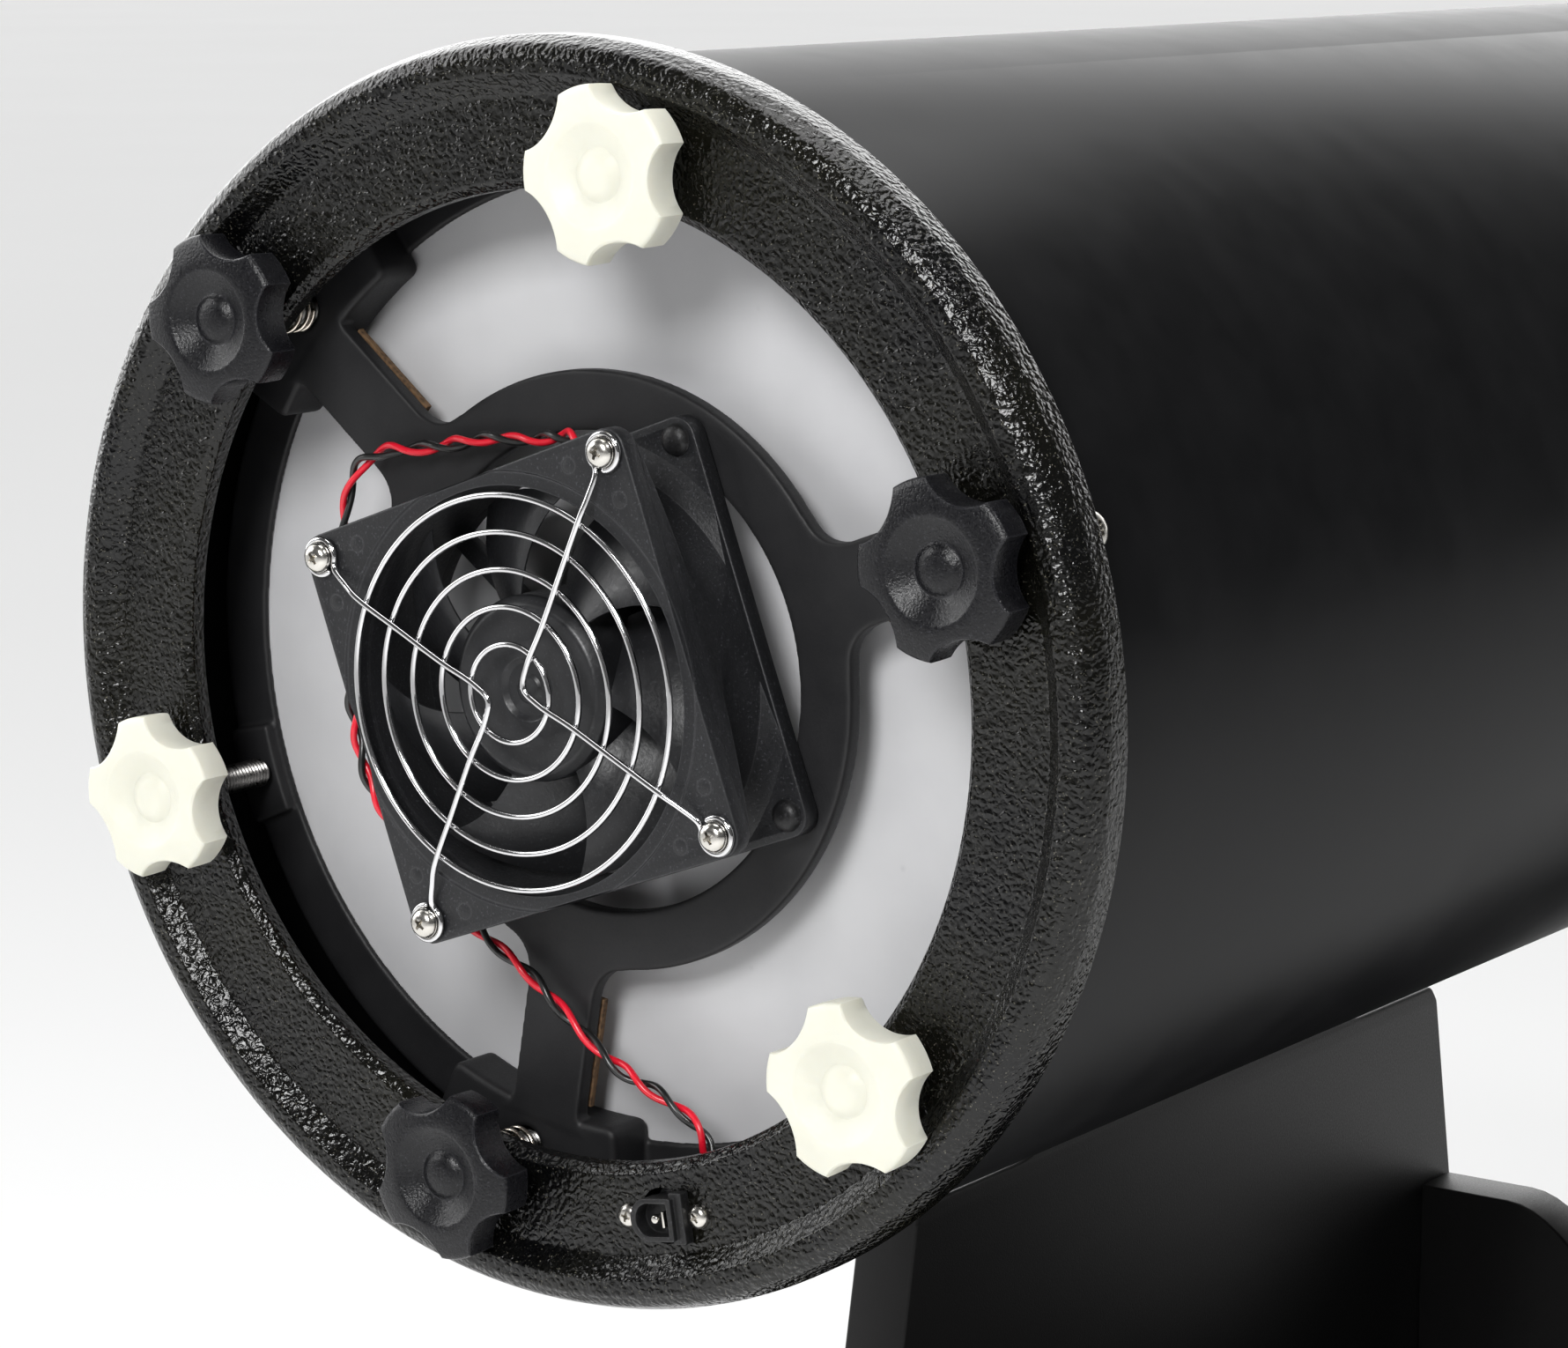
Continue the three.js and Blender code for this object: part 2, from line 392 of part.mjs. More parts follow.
add(base, 'side_panel_left', platX(panelOutline(), -INNER_X - BOARD, -INNER_X), 'board');
add(base, 'side_panel_right', platX(panelOutline(), INNER_X, INNER_X + BOARD), 'board');
for (const [s, n] of [[-1, 'left'], [1, 'right']]) {
  const pts = [];
  for (let i = 0; i <= 18; i++) { const a = rad(-6 - 168 * i / 18); pts.push([41.1 * Math.cos(a), AXIS_H + 41.1 * Math.sin(a)]); }
  for (let i = 18; i >= 0; i--) { const a = rad(-6 - 168 * i / 18); pts.push([38.5 * Math.cos(a), AXIS_H + 38.5 * Math.sin(a)]); }
  add(base, `cradle_liner_${n}`, s < 0 ? platX(pts, -INNER_X - BOARD + 0.5, -INNER_X - 0.5) : platX(pts, INNER_X + 0.5, INNER_X + BOARD - 0.5), 'nylon');
}
// front panel with a scooped top edge
const FP_Y0 = 632 - ALT_Y, FP_Y1 = FP_Y0 + BOARD;
{
  const top = AXIS_H - 272, X = INNER_X - 0.3, pts = [[-X, PAN_Z0], [X, PAN_Z0], [X, top], [109, top]];
  for (let i = 1; i < 16; i++) {
    const t = i / 16, x = 109 - 218 * t, u = Math.min(1, Math.min(t, 1 - t) / 0.36), d = 62 * (0.5 - 0.5 * Math.cos(Math.PI * u));
    pts.push([x, top - d]);
  }
  pts.push([-109, top], [-X, top]);
  add(base, 'front_panel', platY(pts, FP_Y0, FP_Y1), 'board');
}
// carrying handle on the front panel
{
  const z = AXIS_H - 400, y = FP_Y1 + 0.3;
  const bar = wire([[-60, y, z], [-60, y + 22, z], [-58, y + 31, z], [-50, y + 35, z], [0, y + 36, z], [50, y + 35, z], [58, y + 31, z], [60, y + 22, z], [60, y, z]], 5, 6, 24);
  const g = union(bar, discY(10, y, y + 4, 14).translate(-60, 0, z), discY(10, y, y + 4, 14).translate(60, 0, z));
  add(base, 'carry_handle', g, 'chrome');
}
// eyepiece rack on the right panel
{
  const x0 = INNER_X + BOARD + 0.3, z = AXIS_H - 262;
  const g = cut(union(box(x0, x0 + 2.5, -84, 84, z - 40, z), box(x0, x0 + 66, -84, 84, z - 2.5, z)),
    discZ(25.8, z - 10, z + 10, 28).translate(x0 + 36, -48, 0), discZ(16.3, z - 10, z + 10, 24).translate(x0 + 36, 10, 0), discZ(16.3, z - 10, z + 10, 24).translate(x0 + 36, 56, 0));
  add(base, 'eyepiece_rack', g, 'steelBlack');
}

export default group;
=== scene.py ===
import json
import math

import bpy
import numpy as np
from mathutils import Matrix, Vector


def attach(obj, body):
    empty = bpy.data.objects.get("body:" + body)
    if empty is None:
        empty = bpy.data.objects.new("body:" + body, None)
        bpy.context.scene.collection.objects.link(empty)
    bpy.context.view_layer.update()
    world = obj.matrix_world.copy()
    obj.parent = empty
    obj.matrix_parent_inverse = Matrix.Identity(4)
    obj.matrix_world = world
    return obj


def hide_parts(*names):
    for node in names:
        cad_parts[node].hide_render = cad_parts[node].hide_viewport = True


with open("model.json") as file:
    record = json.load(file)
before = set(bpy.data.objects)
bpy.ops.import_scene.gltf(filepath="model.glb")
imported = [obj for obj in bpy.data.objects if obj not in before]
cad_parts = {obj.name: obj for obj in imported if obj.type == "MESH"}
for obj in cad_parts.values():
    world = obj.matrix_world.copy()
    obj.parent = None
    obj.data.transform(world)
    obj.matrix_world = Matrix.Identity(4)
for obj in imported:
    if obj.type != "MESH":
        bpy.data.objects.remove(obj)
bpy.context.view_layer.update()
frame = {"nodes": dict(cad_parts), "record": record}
scene = bpy.context.scene
rad = math.radians
OTA = np.array([0.0, -573.5, 604.0])      # tube frame: rear face of the tube on its axis, mm
BASE = np.array([0.0, -84.5, 0.0])        # rocker frame: azimuth axis at the floor, mm

# ================================================================ camera
cam_data = bpy.data.cameras.new("camera")
cam_data.sensor_fit = "HORIZONTAL"
cam_data.sensor_width = 36.0
cam_data.lens = 104.271
cam_data.clip_start, cam_data.clip_end = 0.05, 60
camera = bpy.data.objects.new("camera", cam_data)
scene.collection.objects.link(camera)
camera.matrix_world = Matrix((
    (0.816394753, -0.10088434, 0.56861407, 0.512993),
    (0.577494249, 0.14261865, -0.80384098, -1.222122),
    (0.0, 0.98462291, 0.17469324, 0.752678),
    (0, 0, 0, 1)))
scene.camera = camera

# ================================================================ mesh code


def lathe(prof, seg=96, axis="Y", close=None):
    """Section of (radius, height) pairs turned about an axis."""
    n = len(prof)
    ring = (prof[0][0] > 1e-6 and prof[-1][0] > 1e-6) if close is None else close
    th = np.linspace(0, 2 * math.pi, seg, endpoint=False)
    c, s = np.cos(th), np.sin(th)
    V, idx = [], []
    for r, h in prof:
        if r < 1e-6:
            idx.append([len(V)] * seg)
            V.append((0, h, 0))
        else:
            idx.append(list(range(len(V), len(V) + seg)))
            V.extend(zip(r * c, [h] * seg, r * s))
    F = []
    for i in range(n if ring else n - 1):
        a, b = idx[i], idx[(i + 1) % n]
        for k in range(seg):
            m = (k + 1) % seg
            q = [a[k], a[m], b[m], b[k]]
            q = [x for j, x in enumerate(q) if x != q[j - 1]]
            if len(q) > 2:
                F.append(q)
    V = np.array(V, float)
    if axis == "Z":
        V = V[:, [0, 2, 1]]
    elif axis == "X":
        V = V[:, [1, 0, 2]]
    return V, F


def fil(pts, closed=True, n=4):
    """Rounds the corners of a 2D line; a corner's radius is its third number."""
    out, N = [], len(pts)
    for i, p in enumerate(pts):
        r = p[2] if len(p) > 2 else 0
        b = np.array(p[:2], float)
        if r <= 0 or (not closed and i in (0, N - 1)):
            out.append(tuple(b))
            continue
        a = np.array(pts[i - 1][:2], float)
        c = np.array(pts[(i + 1) % N][:2], float)
        la, lc = np.linalg.norm(a - b), np.linalg.norm(c - b)
        u, w = (a - b) / la, (c - b) / lc
        ang = math.acos(max(-1, min(1, float(u @ w))))
        if ang > math.pi - 1e-3 or ang < 1e-3:
            out.append(tuple(b))
            continue
        t = min(r / math.tan(ang / 2), 0.49 * la, 0.49 * lc)
        r = t * math.tan(ang / 2)
        ctr = b + (u + w) / np.linalg.norm(u + w) * r / math.sin(ang / 2)
        d0, d1 = b + u * t - ctr, b + w * t - ctr
        a0, a1 = math.atan2(d0[1], d0[0]), math.atan2(d1[1], d1[0])
        d = (a1 - a0 + math.pi) % (2 * math.pi) - math.pi
        for k in range(n + 1):
            x = a0 + d * k / n
            out.append((ctr[0] + r * math.cos(x), ctr[1] + r * math.sin(x)))
    return out


def loft(loops, cap=True):
    """Closed loops of the same length joined in order."""
    m = len(loops[0])
    V = np.concatenate([np.asarray(x, float) for x in loops])
    F = []
    for i in range(len(loops) - 1):
        for k in range(m):
            a, b = i * m + k, i * m + (k + 1) % m
            F.append([a, b, b + m, a + m])
    if cap:
        F.append(list(range(m))[::-1])
        F.append([(len(loops) - 1) * m + k for k in range(m)])
    return V, F


def join(*gs):
    V, F, n = [], [], 0
    for v, f in gs:
        V.append(np.asarray(v, float))
        F.extend([[i + n for i in q] for q in f])
        n += len(v)
    return np.concatenate(V), F


def move(g, x=0, y=0, z=0):
    return np.asarray(g[0], float) + [x, y, z], g[1]


def rot(g, axis, deg):
    """Turns by the right-hand rule."""
    R = np.array(Matrix.Rotation(rad(deg), 3, axis))
    return np.asarray(g[0], float) @ R.T, g[1]


def spin(g, deg):
    """About the tube's axis, +deg turns +X towards +Z."""
    return rot(g, "Y", -deg)


def mirror_x(g):
    return np.asarray(g[0], float) * [-1, 1, 1], [q[::-1] for q in g[1]]


def polar(r, deg):
    return r * math.cos(rad(deg)), r * math.sin(rad(deg))


def tmp_object(g):
    me = bpy.data.meshes.new("tmp")
    me.from_pydata(np.asarray(g[0]).tolist(), [], g[1])
    tidy(me)
    ob = bpy.data.objects.new("tmp", me)
    scene.collection.objects.link(ob)
    return ob


def tidy(me, dist=1e-5):
    import bmesh
    bm = bmesh.new()
    bm.from_mesh(me)
    bmesh.ops.remove_doubles(bm, verts=bm.verts, dist=dist)
    bmesh.ops.recalc_face_normals(bm, faces=bm.faces)
    bm.to_mesh(me)
    bm.free()


def evaluated(ob):
    bpy.context.view_layer.update()
    me = bpy.data.meshes.new_from_object(ob.evaluated_get(bpy.context.evaluated_depsgraph_get()))
    V = np.zeros(len(me.vertices) * 3)
    me.vertices.foreach_get("co", V)
    F = [list(p.vertices) for p in me.polygons]
    bpy.data.meshes.remove(me)
    return V.reshape(-1, 3), F


def drop(*obs):
    for o in obs:
        d = o.data
        bpy.data.objects.remove(o)
        if isinstance(d, bpy.types.Mesh):
            bpy.data.meshes.remove(d)
        elif isinstance(d, bpy.types.Curve):
            bpy.data.curves.remove(d)


def boolean(a, bs, op="DIFFERENCE"):
    oa = tmp_object(a)
    obs = [tmp_object(b) for b in bs]
    for o in obs:
        m = oa.modifiers.new("b", "BOOLEAN")
        m.operation, m.solver, m.object = op, "EXACT", o
        if op == "UNION":
            m.use_self = False
    g = evaluated(oa)
    drop(oa, *obs)
    return g


def voxel(g, size, smooth=0, shrink=0):
    """Solids that overlap, melted into one skin with soft edges, as a casting has."""
    o = tmp_object(g)
    m = o.modifiers.new("r", "REMESH")
    m.mode, m.voxel_size, m.adaptivity = "VOXEL", size, 0
    if smooth:
        s = o.modifiers.new("s", "SMOOTH")
        s.factor, s.iterations = 0.5, smooth
    out = evaluated(o)
    drop(o)
    return out


def plate(outer, holes, t0, t1, bev=0.6, plane="Y", res=2):
    """Flat outline with holes, thickness t0..t1, with softened edges. Outline axes: Y plane (x, z), X plane (y, z), Z plane (x, y)."""
    cu = bpy.data.curves.new("tmp", "CURVE")
    cu.dimensions, cu.fill_mode = "2D", "BOTH"
    T = t1 - t0
    cu.extrude, cu.bevel_depth, cu.bevel_resolution, cu.offset = T / 2 - bev, bev, res, -bev
    for poly in [outer] + list(holes):
        sp = cu.splines.new("POLY")
        sp.points.add(len(poly) - 1)
        co = np.zeros((len(poly), 4))
        co[:, :2] = np.asarray([p[:2] for p in poly])
        co[:, 3] = 1
        sp.points.foreach_set("co", co.ravel())
        sp.use_cyclic_u = True
    ob = bpy.data.objects.new("tmp", cu)
    scene.collection.objects.link(ob)
    V, F = evaluated(ob)
    drop(ob)
    V = V + [0, 0, (t0 + t1) / 2]
    V = V[:, {"Y": [0, 2, 1], "X": [2, 0, 1], "Z": [0, 1, 2]}[plane]]
    return V, F


def circle(r, n=96, cx=0, cy=0):
    return [(cx + r * math.cos(2 * math.pi * i / n), cy + r * math.sin(2 * math.pi * i / n)) for i in range(n)]


def catmull(P, n=20, closed=False):
    """Centripetal Catmull-Rom through the points."""
    P = [np.array(p, float) for p in P]
    if closed:
        P = [P[-1]] + P + [P[0], P[1]]
    else:
        P = [2 * P[0] - P[1]] + P + [2 * P[-1] - P[-2]]
    out = []
    for i in range(1, len(P) - 2):
        p0, p1, p2, p3 = P[i - 1:i + 3]
        t = [0]
        for a, b in ((p0, p1), (p1, p2), (p2, p3)):
            t.append(t[-1] + max(np.linalg.norm(b - a), 1e-6) ** 0.5)
        for k in range(n):
            x = t[1] + (t[2] - t[1]) * k / n
            a1 = (t[1] - x) / (t[1] - t[0]) * p0 + (x - t[0]) / (t[1] - t[0]) * p1
            a2 = (t[2] - x) / (t[2] - t[1]) * p1 + (x - t[1]) / (t[2] - t[1]) * p2
            a3 = (t[3] - x) / (t[3] - t[2]) * p2 + (x - t[2]) / (t[3] - t[2]) * p3
            b1 = (t[2] - x) / (t[2] - t[0]) * a1 + (x - t[0]) / (t[2] - t[0]) * a2
            b2 = (t[3] - x) / (t[3] - t[1]) * a2 + (x - t[1]) / (t[3] - t[1]) * a3
            out.append((t[2] - x) / (t[2] - t[1]) * b1 + (x - t[1]) / (t[2] - t[1]) * b2)
    if not closed:
        out.append(P[-2])
    return np.array(out)


def frames(P, closed=False):
    P = np.asarray(P, float)
    T = np.roll(P, -1, 0) - np.roll(P, 1, 0) if closed else np.gradient(P, axis=0)
    T /= np.linalg.norm(T, axis=1)[:, None]
    n = np.cross(T[0], [0.31, 0.87, 0.38])
    n /= np.linalg.norm(n)
    N = [n]
    for i in range(1, len(P)):
        n = N[-1] - (N[-1] @ T[i]) * T[i]
        N.append(n / np.linalg.norm(n))
    N = np.array(N)
    return T, N, np.cross(T, N)


def sweep(P, r, sides=12, closed=False, roundcap=True):
    """Round wire along points."""
    P = np.asarray(P, float)
    T, N, B = frames(P, closed)
    R = np.full(len(P), r) if np.isscalar(r) else np.asarray(r, float)
    a = np.linspace(0, 2 * math.pi, sides, endpoint=False)
    loops = [p + R[i] * (np.cos(a)[:, None] * N[i] + np.sin(a)[:, None] * B[i]) for i, p in enumerate(P)]
    if closed:
        V, F = loft(loops, False)
        m, L = sides, len(loops)
        # joins the last loop to the first with the least twist
        d = [np.linalg.norm(np.roll(loops[0], -s, 0) - loops[-1]) for s in range(m)]
        s = int(np.argmin(d))
        for k in range(m):
            F.append([(L - 1) * m + k, (L - 1) * m + (k + 1) % m, (k + 1 + s) % m, (k + s) % m])
        return V, F
    if roundcap:
        def cap(i, sgn):
            return [P[i] + sgn * T[i] * R[i] * h + (loops[i] - P[i]) * w for h, w in ((0.5, 0.866), (0.87, 0.5))]
        loops = cap(0, -1)[::-1] + loops + cap(-1, 1)
    return loft(loops)


def sweep_flat(P, w, h, up, bev=0.2):
    """Flat bar along points, w wide across up, h thick along up."""
    P = np.asarray(P, float)
    T = np.gradient(P, axis=0)
    T /= np.linalg.norm(T, axis=1)[:, None]
    up = np.array(up, float)
    loops = []
    sec = fil([(-w / 2, -h / 2, bev), (w / 2, -h / 2, bev), (w / 2, h / 2, bev), (-w / 2, h / 2, bev)], n=2)
    for p, t in zip(P, T):
        s = np.cross(t, up)
        s /= np.linalg.norm(s)
        u = np.cross(s, t)
        loops.append([p + s * a + u * b for a, b in sec])
    return loft(loops)


def rbox(x0, x1, y0, y1, z0, z1, r=1.0, b=0.5):
    """Box with rounded upright corners and softened edges."""
    return plate(fil([(x0, y0, r), (x1, y0, r), (x1, y1, r), (x0, y1, r)], n=4), [], z0, z1, b, "Z")


def clip_piece():
    """Mirror clip: a small L that reaches over the glass's front edge, on the +X side."""
    leg = rbox(102.1, 104.0, 40, 56.0, -6, 6, 0.5, 0.4)
    toe = rbox(94.5, 104.0, 53.8, 56.0, -6, 6, 0.8, 0.4)
    return join(leg, toe)


def knurl(g, axis, rmin, count, depth):
    """Presses grooves along the axis into everything beyond rmin."""
    V = np.asarray(g[0], float).copy()
    i, j = {"X": (1, 2), "Y": (0, 2), "Z": (0, 1)}[axis]
    r = np.hypot(V[:, i], V[:, j])
    a = np.arctan2(V[:, j], V[:, i])
    k = np.clip((r - rmin) / 0.6, 0, 1) * depth * (0.5 - 0.5 * np.cos(count * a)) ** 2
    f = (r - k) / np.maximum(r, 1e-6)
    V[:, i] *= f
    V[:, j] *= f
    return V, g[1]


def lobed(R, prof, axis="Z", cap=True):
    """Knob with the outline R(angle); prof lists (amount inside the outline, height), ending on the axis."""
    n = 240
    th = np.linspace(0, 2 * math.pi, n, endpoint=False)
    rr = np.array([R(t) for t in th])
    loops = []
    for off, h in prof:
        r = np.maximum(rr - off, 0.02) if off >= 0 else np.full(n, -off)
        loops.append(np.stack([r * np.cos(th), r * np.sin(th), np.full(n, float(h))], 1))
    V, F = loft(loops, cap)
    if axis == "X":
        V = V[:, [2, 0, 1]]
    return V, F


def thread(r, y0, y1, pitch=1.0, seg=24, axis="Y"):
    prof, y = [(0, y0)], y0
    while y < y1 - pitch:
        prof += [(r, y), (r, y + 0.25 * pitch), (r * 0.88, y + 0.6 * pitch), (r * 0.88, y + 0.7 * pitch)]
        y += pitch
    return lathe(prof + [(r * 0.86, y1), (0, y1)], seg, axis)


made = {}


def make(name, g, mat, body, repl=(), off=OTA, angle=38, mats=None, pick=None):
    """A finished piece from mm geometry in its local frame."""
    V = (np.asarray(g[0], float) + off) / 1000
    me = bpy.data.meshes.new(name)
    me.from_pydata(V.tolist(), [], g[1])
    tidy(me, 2e-7)
    me.polygons.foreach_set("use_smooth", [True] * len(me.polygons))
    me.set_sharp_from_angle(angle=rad(angle))
    me.update()
    ob = bpy.data.objects.new(name, me)
    scene.collection.objects.link(ob)
    me.materials.append(mat)
    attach(ob, body)
    if repl:
        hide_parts(*([repl] if isinstance(repl, str) else repl))
    made[name] = ob
    return ob


# ================================================================ materials
class Mat:
    def __init__(self, name):
        self.m = bpy.data.materials.new(name)
        self.m.use_nodes = True
        self.t = self.m.node_tree
        self.b = self.t.nodes["Principled BSDF"]
        self.co = self.t.nodes.new("ShaderNodeTexCoord").outputs["Object"]

    def n(self, kind, **kw):
        nd = self.t.nodes.new("ShaderNode" + kind)
        for k, v in kw.items():
            if k in nd.inputs:
                self.put(nd, k, v)
            else:
                setattr(nd, k, v)
        return nd

    def put(self, nd, key, v):
        if isinstance(v, bpy.types.NodeSocket):
            self.t.links.new(v, nd.inputs[key])
        else:
            nd.inputs[key].default_value = v

    def bs(self, **kw):
        names = {"color": "Base Color", "rough": "Roughness", "metal": "Metallic", "coat": "Coat Weight", "coat_rough": "Coat Roughness",
                 "spec": "Specular IOR Level", "normal": "Normal", "ior": "IOR", "sss": "Subsurface Weight", "sss_radius": "Subsurface Radius",
                 "sss_scale": "Subsurface Scale", "sheen": "Sheen Weight", "coat_normal": "Coat Normal", "aniso": "Anisotropic", "trans": "Transmission Weight"}
        for k, v in kw.items():
            self.put(self.b, names[k], v)

    def mapping(self, scale=(1, 1, 1), rotation=(0, 0, 0), src=None):
        mp = self.n("Mapping")
        mp.inputs["Scale"].default_value = scale
        mp.inputs["Rotation"].default_value = rotation
        self.t.links.new(src or self.co, mp.inputs["Vector"])
        return mp.outputs[0]

    def noise(self, scale, detail=3, rough=0.55, vec=None, dist=0.0):
        return self.n("TexNoise", Scale=scale, Detail=detail, Roughness=rough, Distortion=dist, Vector=vec or self.co).outputs["Fac"]

    def voro(self, scale, vec=None, feature="F1", rand=1.0, smooth=None):
        nd = self.n("TexVoronoi", Scale=scale, Randomness=rand, Vector=vec or self.co, feature=feature)
        if smooth is not None and feature == "SMOOTH_F1":
            nd.inputs["Smoothness"].default_value = smooth
        return nd.outputs["Distance"]

    def ramp(self, fac, stops, interp="LINEAR"):
        r = self.n("ValToRGB")
        r.color_ramp.interpolation = interp
        e = r.color_ramp.elements
        while len(e) < len(stops):
            e.new(0.5)
        for x, (p, c) in zip(e, stops):
            x.position = p
            x.color = (*c, 1) if len(c) == 3 else c
        self.t.links.new(fac, r.inputs[0])
        return r.outputs[0]

    def rng(self, v, a, b, c, d, clamp=True):
        nd = self.n("MapRange", clamp=clamp)
        self.t.links.new(v, nd.inputs[0])
        for i, x in enumerate((a, b, c, d)):
            nd.inputs[i + 1].default_value = x
        return nd.outputs[0]

    def math(self, op, a, b=0.0, clamp=False):
        nd = self.n("Math", operation=op, use_clamp=clamp)
        for i, x in enumerate((a, b)):
            if isinstance(x, bpy.types.NodeSocket):
                self.t.links.new(x, nd.inputs[i])
            else:
                nd.inputs[i].default_value = x
        return nd.outputs[0]

    def mix(self, fac, a, b):
        nd = self.n("Mix", data_type="RGBA")
        for i, x in ((0, fac), (6, a), (7, b)):
            if isinstance(x, bpy.types.NodeSocket):
                self.t.links.new(x, nd.inputs[i])
            else:
                nd.inputs[i].default_value = x if i == 0 else (*x, 1)
        return nd.outputs[2]

    def bump(self, height, strength, distance, normal=None):
        nd = self.n("Bump")
        nd.inputs["Strength"].default_value = strength
        nd.inputs["Distance"].default_value = distance
        self.t.links.new(height, nd.inputs["Height"])
        if normal is not None:
            self.t.links.new(normal, nd.inputs["Normal"])
        return nd.outputs[0]

    def edge(self, width=0.0006):
        """How near an edge is: 0 on a flat, towards 1 on a rounded edge; this is the mask for the painted edge
        highlights.
        """
        bv = self.n("Bevel", samples=4)
        bv.inputs["Radius"].default_value = width
        ge = self.n("NewGeometry")
        d = self.n("VectorMath", operation="DOT_PRODUCT")
        self.t.links.new(bv.outputs[0], d.inputs[0])
        self.t.links.new(ge.outputs["Normal"], d.inputs[1])
        return self.rng(d.outputs["Value"], 1.0, 0.93, 0, 1)


def hammer_paint():
    m = Mat("hammertone_paint")
    warp = m.n("VectorMath", operation="ADD")
    nz = m.n("TexNoise", Scale=420, Detail=1, Vector=m.co)
    sc = m.n("VectorMath", operation="SCALE")
    sc.inputs["Scale"].default_value = 0.0016
    m.t.links.new(nz.outputs["Color"], sc.inputs[0])
    m.t.links.new(m.co, warp.inputs[0])
    m.t.links.new(sc.outputs[0], warp.inputs[1])
    v = warp.outputs[0]
    cells = m.voro(860, v, "SMOOTH_F1", 1.0, 0.3)
    fine = m.voro(1500, v, "F1")
    big = m.noise(240, 2, 0.5)
    h = m.math("ADD", m.math("MULTIPLY", m.rng(cells, 0.0, 0.75, 1, 0), 0.8), m.math("MULTIPLY", m.rng(fine, 0, 0.7, 1, 0), 0.22))
    h = m.math("ADD", h, m.math("MULTIPLY", big, 0.9))
    fleck = m.rng(m.noise(1900, 2, 0.7), 0.645, 0.71, 0, 1)
    patch = m.rng(m.noise(26, 3, 0.6), 0.38, 0.66, 0, 1)
    tone = m.mix(patch, (0.0014, 0.0014, 0.0016), (0.0042, 0.0040, 0.0022))
    col = m.mix(m.math("MULTIPLY", fleck, 0.55), tone, (0.20, 0.19, 0.15))
    m.bs(color=col, rough=m.rng(cells, 0, 0.6, 0.10, 0.20), metal=0.0, spec=0.36,
         normal=m.bump(h, 0.8, 0.00030))
    return m.m


def black_steel():
    m = Mat("tube_black_paint")
    wav = m.noise(7, 2, 0.5, m.mapping((1, 0.25, 1)))
    peel = m.noise(1900, 2, 0.6)
    grain = m.noise(60, 4, 0.6)
    dust = m.rng(m.noise(5200, 1, 0.5), 0.70, 0.80, 0, 1)
    col = m.mix(m.rng(grain, 0.3, 0.7, 0, 1), (0.0032, 0.0033, 0.0037), (0.0046, 0.0047, 0.0052))
    col = m.mix(m.math("MULTIPLY", dust, 0.25), col, (0.04, 0.04, 0.042))
    nrm = m.bump(peel, 0.25, 0.00004, m.bump(wav, 0.12, 0.002))
    m.bs(color=col, rough=m.rng(grain, 0.3, 0.7, 0.30, 0.36), spec=0.24, normal=nrm)
    return m.m


def cast_black():
    m = Mat("cell_casting_paint")
    grain = m.noise(2300, 3, 0.65)
    mid = m.noise(90, 3, 0.6)
    col = m.mix(m.rng(mid, 0.35, 0.65, 0, 1), (0.0095, 0.0095, 0.0105), (0.0135, 0.0135, 0.0145))
    # painted highlight: the casting's rounded edges are mixed towards light grey, as if light caught them
    col = m.mix(m.math("MULTIPLY", m.edge(0.0007), 0.35), col, (0.075, 0.072, 0.07))
    m.bs(color=col, rough=m.rng(grain, 0.3, 0.7, 0.44, 0.58), spec=0.3, normal=m.bump(grain, 0.3, 0.00008))
    return m.m


def plastic(name, c0, c1, rough, grain_scale, grain_h, spec=0.45, sparkle=0.0, sss=0.0, edge=0.0, edge_highlight_col=(0.1, 0.1, 0.1), coat=0.0):
    m = Mat(name)
    g = m.noise(grain_scale, 2, 0.6)
    mid = m.noise(55, 3, 0.6)
    col = m.mix(m.rng(mid, 0.35, 0.65, 0, 1), c0, c1)
    if sparkle:
        sp = m.rng(m.noise(grain_scale * 1.35, 1, 0.5), 0.62, 0.74, 0, 1)
        col = m.mix(m.math("MULTIPLY", sp, sparkle), col, (0.11, 0.11, 0.125))
    # painted highlight: rounded edges are mixed towards a lighter colour, as if light caught them
    if edge:
        col = m.mix(m.math("MULTIPLY", m.edge(0.0005), edge), col, edge_highlight_col)
    m.bs(color=col, rough=m.rng(g, 0.35, 0.65, rough - 0.05, rough + 0.06), spec=spec, normal=m.bump(g, 0.6, grain_h), coat=coat)
    if sss:
        m.bs(sss=sss, sss_radius=(1.0, 0.85, 0.6))
        m.b.inputs["Subsurface Scale"].default_value = 0.004
    return m.m


def metal(name, c0, c1, rough, scale=400, h=0.00002, stretch=(1, 1, 1), tarnish=0.3):
    m = Mat(name)
    g = m.noise(scale, 3, 0.6, m.mapping(stretch))
    sm = m.noise(120, 3, 0.6)
    col = m.mix(m.math("MULTIPLY", m.rng(sm, 0.4, 0.7, 0, 1), tarnish), c0, c1)
    m.bs(color=col, metal=1.0, rough=m.rng(g, 0.3, 0.7, rough * 0.7, rough * 1.4), normal=m.bump(g, 0.4, h))
    return m.m


def ground_glass():
    m = Mat("mirror_back_glass")
    fine = m.noise(3800, 2, 0.7)
    cloud = m.noise(11, 4, 0.6)
    swirl = m.noise(38, 3, 0.6, m.mapping((1, 1, 1)), 1.2)
    col = m.mix(m.rng(cloud, 0.35, 0.65, 0, 1), (0.50, 0.50, 0.515), (0.60, 0.60, 0.61))
    col = m.mix(m.math("MULTIPLY", m.rng(swirl, 0.55, 0.8, 0, 1), 0.12), col, (0.50, 0.50, 0.52))
    spot = m.rng(m.voro(52), 0.0, 0.045, 1, 0)
    col = m.mix(m.math("MULTIPLY", spot, 0.3), col, (0.33, 0.33, 0.35))
    m.bs(color=col, rough=m.rng(fine, 0.3, 0.7, 0.36, 0.48), spec=0.5, normal=m.bump(fine, 0.25, 0.00003), coat=0.25, coat_rough=0.22)
    return m.m


